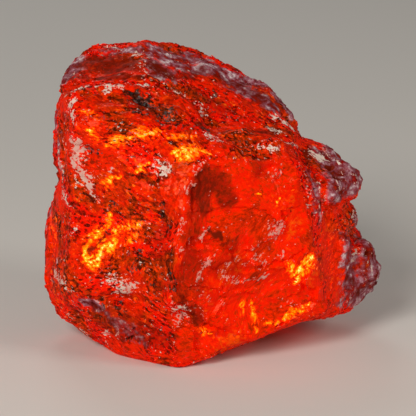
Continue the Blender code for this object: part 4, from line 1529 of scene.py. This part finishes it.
@dataclass
class CleavageFlakes:
    """Small loose-edged flakes on the broken skin, each lying near a cleavage plane."""

    gap: float = 0.34
    smallest: float = 0.14
    largest: float = 0.42
    thickness: float = 0.09
    lean: float = 0.22
    seed: int = 7
    corners: int = 5

    def build(self, skin: bpy.types.Object, finish: GemSphalerite) -> bpy.types.Object:
        """Scatters the flakes over the skin.

        Args:
            skin: The finished skin.
            finish: The flakes' finish.

        Returns:
            The flakes as one object.
        """
        tree = self.tree()
        values = {
            "Gap": self.gap * MM,
            "Smallest": self.smallest,
            "Largest": self.largest,
            "Thickness": self.thickness,
            "Lean": self.lean,
            "Seed": self.seed,
            "Corners": self.corners,
            "Finish": finish.material(),
        }
        return scatter(skin, tree, values, "cleavage_flakes")

    def tree(self) -> bpy.types.NodeTree:
        """Builds the node tree that scatters flakes.

        Returns:
            The tree.
        """
        tree = new_geometry_tree(
            "cleavage_flakes",
            {
                "Gap": "NodeSocketFloat",
                "Smallest": "NodeSocketFloat",
                "Largest": "NodeSocketFloat",
                "Thickness": "NodeSocketFloat",
                "Lean": "NodeSocketFloat",
                "Seed": "NodeSocketInt",
                "Corners": "NodeSocketInt",
                "Finish": "NodeSocketMaterial",
            },
        )
        given = add_node(tree, "NodeGroupInput").outputs
        share = add_node(
            tree,
            "GeometryNodeInputNamedAttribute",
            {"data_type": "FLOAT"},
            {"Name": "flaky"},
        ).outputs[0]
        spots = add_node(
            tree,
            "GeometryNodeDistributePointsOnFaces",
            {"distribute_method": "POISSON"},
            {
                "Mesh": given["Geometry"],
                "Distance Min": given["Gap"],
                "Density Max": 9.0e6,
                "Density Factor": share,
                "Seed": given["Seed"],
            },
        ).outputs["Points"]
        facing = add_node(
            tree,
            "GeometryNodeInputNamedAttribute",
            {"data_type": "FLOAT_VECTOR"},
            {"Name": "split_facing"},
        ).outputs[0]
        laid = add_node(
            tree, "FunctionNodeAlignRotationToVector", {"axis": "Z"}, {"Vector": facing}
        ).outputs[0]
        tilt_low = add_node(
            tree,
            "ShaderNodeVectorMath",
            {"operation": "SCALE"},
            {0: (-1.0, -1.0, 0.0), "Scale": given["Lean"]},
        ).outputs[0]
        tilt_high = add_node(
            tree,
            "ShaderNodeVectorMath",
            {"operation": "MULTIPLY_ADD"},
            {0: tilt_low, 1: (-1.0, -1.0, 0.0), 2: (0.0, 0.0, math.tau)},
        ).outputs[0]
        lot = add_node(
            tree,
            "FunctionNodeRandomValue",
            {"data_type": "FLOAT_VECTOR"},
            {0: tilt_low, 1: tilt_high, "Seed": given["Seed"]},
        ).outputs[0]
        turned = add_node(
            tree,
            "FunctionNodeRotateRotation",
            {"rotation_space": "LOCAL"},
            {0: laid, 1: lot},
        ).outputs[0]
        size = add_node(
            tree,
            "FunctionNodeRandomValue",
            {"data_type": "FLOAT"},
            {2: given["Smallest"], 3: given["Largest"], "Seed": given["Seed"]},
        ).outputs[1]
        long_side = add_node(
            tree,
            "ShaderNodeMath",
            {"operation": "MULTIPLY"},
            {0: size, 1: 1.7},
        ).outputs[0]
        scale = add_node(
            tree,
            "ShaderNodeCombineXYZ",
            {},
            {"X": long_side, "Y": size, "Z": given["Thickness"]},
        ).outputs[0]
        flake = add_node(
            tree,
            "GeometryNodeMeshCylinder",
            {"fill_type": "NGON"},
            {"Vertices": given["Corners"], "Radius": 0.5 * MM, "Depth": 1.0 * MM},
        ).outputs["Mesh"]
        placed = add_node(
            tree,
            "GeometryNodeInstanceOnPoints",
            {},
            {"Points": spots, "Instance": flake, "Rotation": turned, "Scale": scale},
        ).outputs[0]
        real = add_node(tree, "GeometryNodeRealizeInstances", {}, {"Geometry": placed}).outputs[0]
        dressed = add_node(
            tree, "GeometryNodeSetMaterial", {}, {"Geometry": real, "Material": given["Finish"]}
        ).outputs[0]
        add_node(tree, "NodeGroupOutput", {}, {"Geometry": dressed})
        return tree


@dataclass
class GalenaGrains:
    """Small cubes of galena, half sunk in the pits and stained streaks."""

    gap: float = 0.24
    smallest: float = 0.08
    largest: float = 0.22
    seed: int = 11

    def build(self, skin: bpy.types.Object, finish: GalenaGrain) -> bpy.types.Object:
        """Scatters the grains over the stained parts of the skin.

        Args:
            skin: The finished skin.
            finish: The grains' finish.

        Returns:
            The grains as one object.
        """
        values = {
            "Gap": self.gap * MM,
            "Smallest": self.smallest,
            "Largest": self.largest,
            "Seed": self.seed,
            "Finish": finish.material(),
        }
        return scatter(skin, self.tree(), values, "galena_grains")

    def tree(self) -> bpy.types.NodeTree:
        """Builds the node tree that scatters grains.

        Returns:
            The tree.
        """
        tree = new_geometry_tree(
            "galena_grains",
            {
                "Gap": "NodeSocketFloat",
                "Smallest": "NodeSocketFloat",
                "Largest": "NodeSocketFloat",
                "Seed": "NodeSocketInt",
                "Finish": "NodeSocketMaterial",
            },
        )
        given = add_node(tree, "NodeGroupInput").outputs
        share = add_node(
            tree,
            "GeometryNodeInputNamedAttribute",
            {"data_type": "FLOAT"},
            {"Name": "grainy"},
        ).outputs[0]
        spots = add_node(
            tree,
            "GeometryNodeDistributePointsOnFaces",
            {"distribute_method": "POISSON"},
            {
                "Mesh": given["Geometry"],
                "Distance Min": given["Gap"],
                "Density Max": 2.0e7,
                "Density Factor": share,
                "Seed": given["Seed"],
            },
        ).outputs["Points"]
        lot = add_node(
            tree,
            "FunctionNodeRandomValue",
            {"data_type": "FLOAT_VECTOR"},
            {0: (0.0, 0.0, 0.0), 1: (math.tau, math.tau, math.tau), "Seed": given["Seed"]},
        ).outputs[0]
        size = add_node(
            tree,
            "FunctionNodeRandomValue",
            {"data_type": "FLOAT"},
            {2: given["Smallest"], 3: given["Largest"], "Seed": given["Seed"]},
        ).outputs[1]
        cube = add_node(
            tree, "GeometryNodeMeshCube", {}, {"Size": (MM, MM, MM)}
        ).outputs["Mesh"]
        placed = add_node(
            tree,
            "GeometryNodeInstanceOnPoints",
            {},
            {"Points": spots, "Instance": cube, "Rotation": lot, "Scale": size},
        ).outputs[0]
        real = add_node(tree, "GeometryNodeRealizeInstances", {}, {"Geometry": placed}).outputs[0]
        dressed = add_node(
            tree, "GeometryNodeSetMaterial", {}, {"Geometry": real, "Material": given["Finish"]}
        ).outputs[0]
        add_node(tree, "NodeGroupOutput", {}, {"Geometry": dressed})
        return tree


def new_geometry_tree(name: str, sizes: Mapping[str, str]) -> bpy.types.NodeTree:
    """Starts a geometry node tree with its named inputs.

    Args:
        name: The tree's name.
        sizes: Each input's name and socket type.

    Returns:
        The tree.
    """
    tree = bpy.data.node_groups.new(name, "GeometryNodeTree")
    tree.interface.new_socket("Geometry", in_out="INPUT", socket_type="NodeSocketGeometry")
    for label, kind in sizes.items():
        tree.interface.new_socket(label, in_out="INPUT", socket_type=kind)
    tree.interface.new_socket("Geometry", in_out="OUTPUT", socket_type="NodeSocketGeometry")
    return tree


def scatter(
    skin: bpy.types.Object, tree: bpy.types.NodeTree, values: Mapping[str, Any], name: str
) -> bpy.types.Object:
    """Runs a geometry node tree on a copy of the skin and keeps the result as a plain mesh.

    Args:
        skin: The skin that things are scattered on.
        tree: The tree, which gives only the scattered things.
        values: The tree's inputs by name.
        name: The new object's name.

    Returns:
        The new object.
    """
    carrier = bpy.data.objects.new("carrier", skin.data)
    bpy.context.scene.collection.objects.link(carrier)
    modifier = carrier.modifiers.new(name, "NODES")
    modifier.node_group = tree
    for item in tree.interface.items_tree:
        if item.item_type == "SOCKET" and item.in_out == "INPUT" and item.name in values:
            modifier[item.identifier] = values[item.name]
    bpy.context.view_layer.update()
    evaluated = carrier.evaluated_get(bpy.context.evaluated_depsgraph_get())
    mesh = bpy.data.meshes.new_from_object(evaluated)
    mesh.name = name
    bpy.data.objects.remove(carrier)
    piece = bpy.data.objects.new(name, mesh)
    bpy.context.scene.collection.objects.link(piece)
    return piece


@dataclass(frozen=True)
class Lamp:
    """A square soft light: its place and width in millimetres, its power in watts and its colour."""

    place: tuple[float, float, float]
    width: float
    power: float
    colour: str = "#FFFFFF"


@dataclass
class Studio:
    """The floor, the soft lights and the dim room around the stone."""

    floor_width: float = 3000.0
    room: str = "#C2BEB8"
    room_strength: float = 0.26
    lamps: dict[str, Lamp] = field(
        default_factory=lambda: {
            "key": Lamp((-130.0, -280.0, 190.0), 120.0, 0.88, "#FFFAF4"),
            "right": Lamp((250.0, -150.0, 190.0), 100.0, 0.28, "#FFF8F0"),
            "back": Lamp((-60.0, 260.0, 240.0), 110.0, 0.13, "#FFFFFF"),
        }
    )

    def build(self, paper: StudioPaper) -> bpy.types.Object:
        """Makes the floor, the lights and the room's dim light.

        Args:
            paper: The floor's finish.

        Returns:
            The floor object.
        """
        half = self.floor_width * MM / 2.0
        mesh = bpy.data.meshes.new("studio_floor")
        corners = [(-half, -half, 0.0), (half, -half, 0.0), (half, half, 0.0), (-half, half, 0.0)]
        mesh.from_pydata(corners, [], [(0, 1, 2, 3)])
        mesh.materials.append(paper.material())
        floor = bpy.data.objects.new("studio_floor", mesh)
        bpy.context.scene.collection.objects.link(floor)
        for name, lamp in self.lamps.items():
            self.hang(name, lamp)
        world = bpy.data.worlds.new("dim_room")
        world.use_nodes = True
        background = world.node_tree.nodes["Background"]
        background.inputs["Color"].default_value = linear(self.room)
        background.inputs["Strength"].default_value = self.room_strength
        bpy.context.scene.world = world
        return floor

    def hang(self, name: str, lamp: Lamp) -> None:
        """Hangs one soft light, turned towards the stone's middle."""
        data = bpy.data.lights.new(f"{name}_light", "AREA")
        data.size = lamp.width * MM
        data.energy = lamp.power
        data.color = linear(lamp.colour)[:3]
        light = bpy.data.objects.new(f"{name}_light", data)
        light.location = Vector(lamp.place) * MM
        middle = Vector((0.0, 0.0, 12.0)) * MM
        light.rotation_euler = (middle - light.location).to_track_quat("-Z", "Y").to_euler()
        bpy.context.scene.collection.objects.link(light)


def add_scatter_shares(skin: bpy.types.Object) -> None:
    """Writes where flakes and grains may lie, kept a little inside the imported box.

    Args:
        skin: The finished skin.
    """
    mesh = skin.data
    count = len(mesh.vertices)
    places = np.empty(count * 3)
    mesh.vertices.foreach_get("co", places)
    places = places.reshape(-1, 3)
    low, high = (np.array(corner) for corner in cad_box)
    margin = np.minimum(places - low, high - places).min(axis=1) / MM
    inside = smooth_step(0.25, 0.45, margin)
    marks = {}
    for name in ("fresh", Mark.RIND_AND_SHEEN.value, Mark.DIRT.value, Mark.SCUFF_AND_GLINT.value):
        values = np.empty(count)
        mesh.attributes[name].data.foreach_get("value", values)
        marks[name] = values
    loose = wobble(places / MM, 2.4, 2, seed=12.0)
    flaky = (0.35 + 0.4 * loose) * (1.0 - marks["fresh"]) * (1.0 - 0.7 * marks[Mark.RIND_AND_SHEEN.value])
    flaky = np.maximum(flaky, 0.8 * marks[Mark.SCUFF_AND_GLINT.value] * marks["fresh"])
    shares = {
        "flaky": np.clip(flaky, 0.0, 1.0) * inside,
        "grainy": smooth_step(0.60, 1.0, marks[Mark.DIRT.value]) * inside,
    }
    for name, values in shares.items():
        layer = mesh.attributes.new(name, "FLOAT", "POINT")
        layer.data.foreach_set("value", values.astype(np.float32))


def main() -> None:
    """Builds the stone and its studio, and fastens every piece to the stone's body."""
    logging.basicConfig(level=logging.INFO, format="%(name)s: %(message)s")
    bpy.context.scene.view_settings.view_transform = "Standard"
    noise.seed_set(NOISE_SEED)
    view = PhotoView()
    view.build()
    skin = StoneSkin(view).build(GemSphalerite())
    add_scatter_shares(skin)
    flakes = CleavageFlakes().build(
        skin, GemSphalerite(name="gem_sphalerite_cleaved", roughness=0.20, fresh_roughness=0.12)
    )
    grains = GalenaGrains().build(skin, GalenaGrain())
    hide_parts(STONE_NODE)
    for piece in (skin, flakes, grains):
        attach(piece, STONE_BODY)
        LOG.info("%s: %d faces", piece.name, len(piece.data.polygons))
    Studio().build(StudioPaper())


if __name__ == "__main__":
    main()
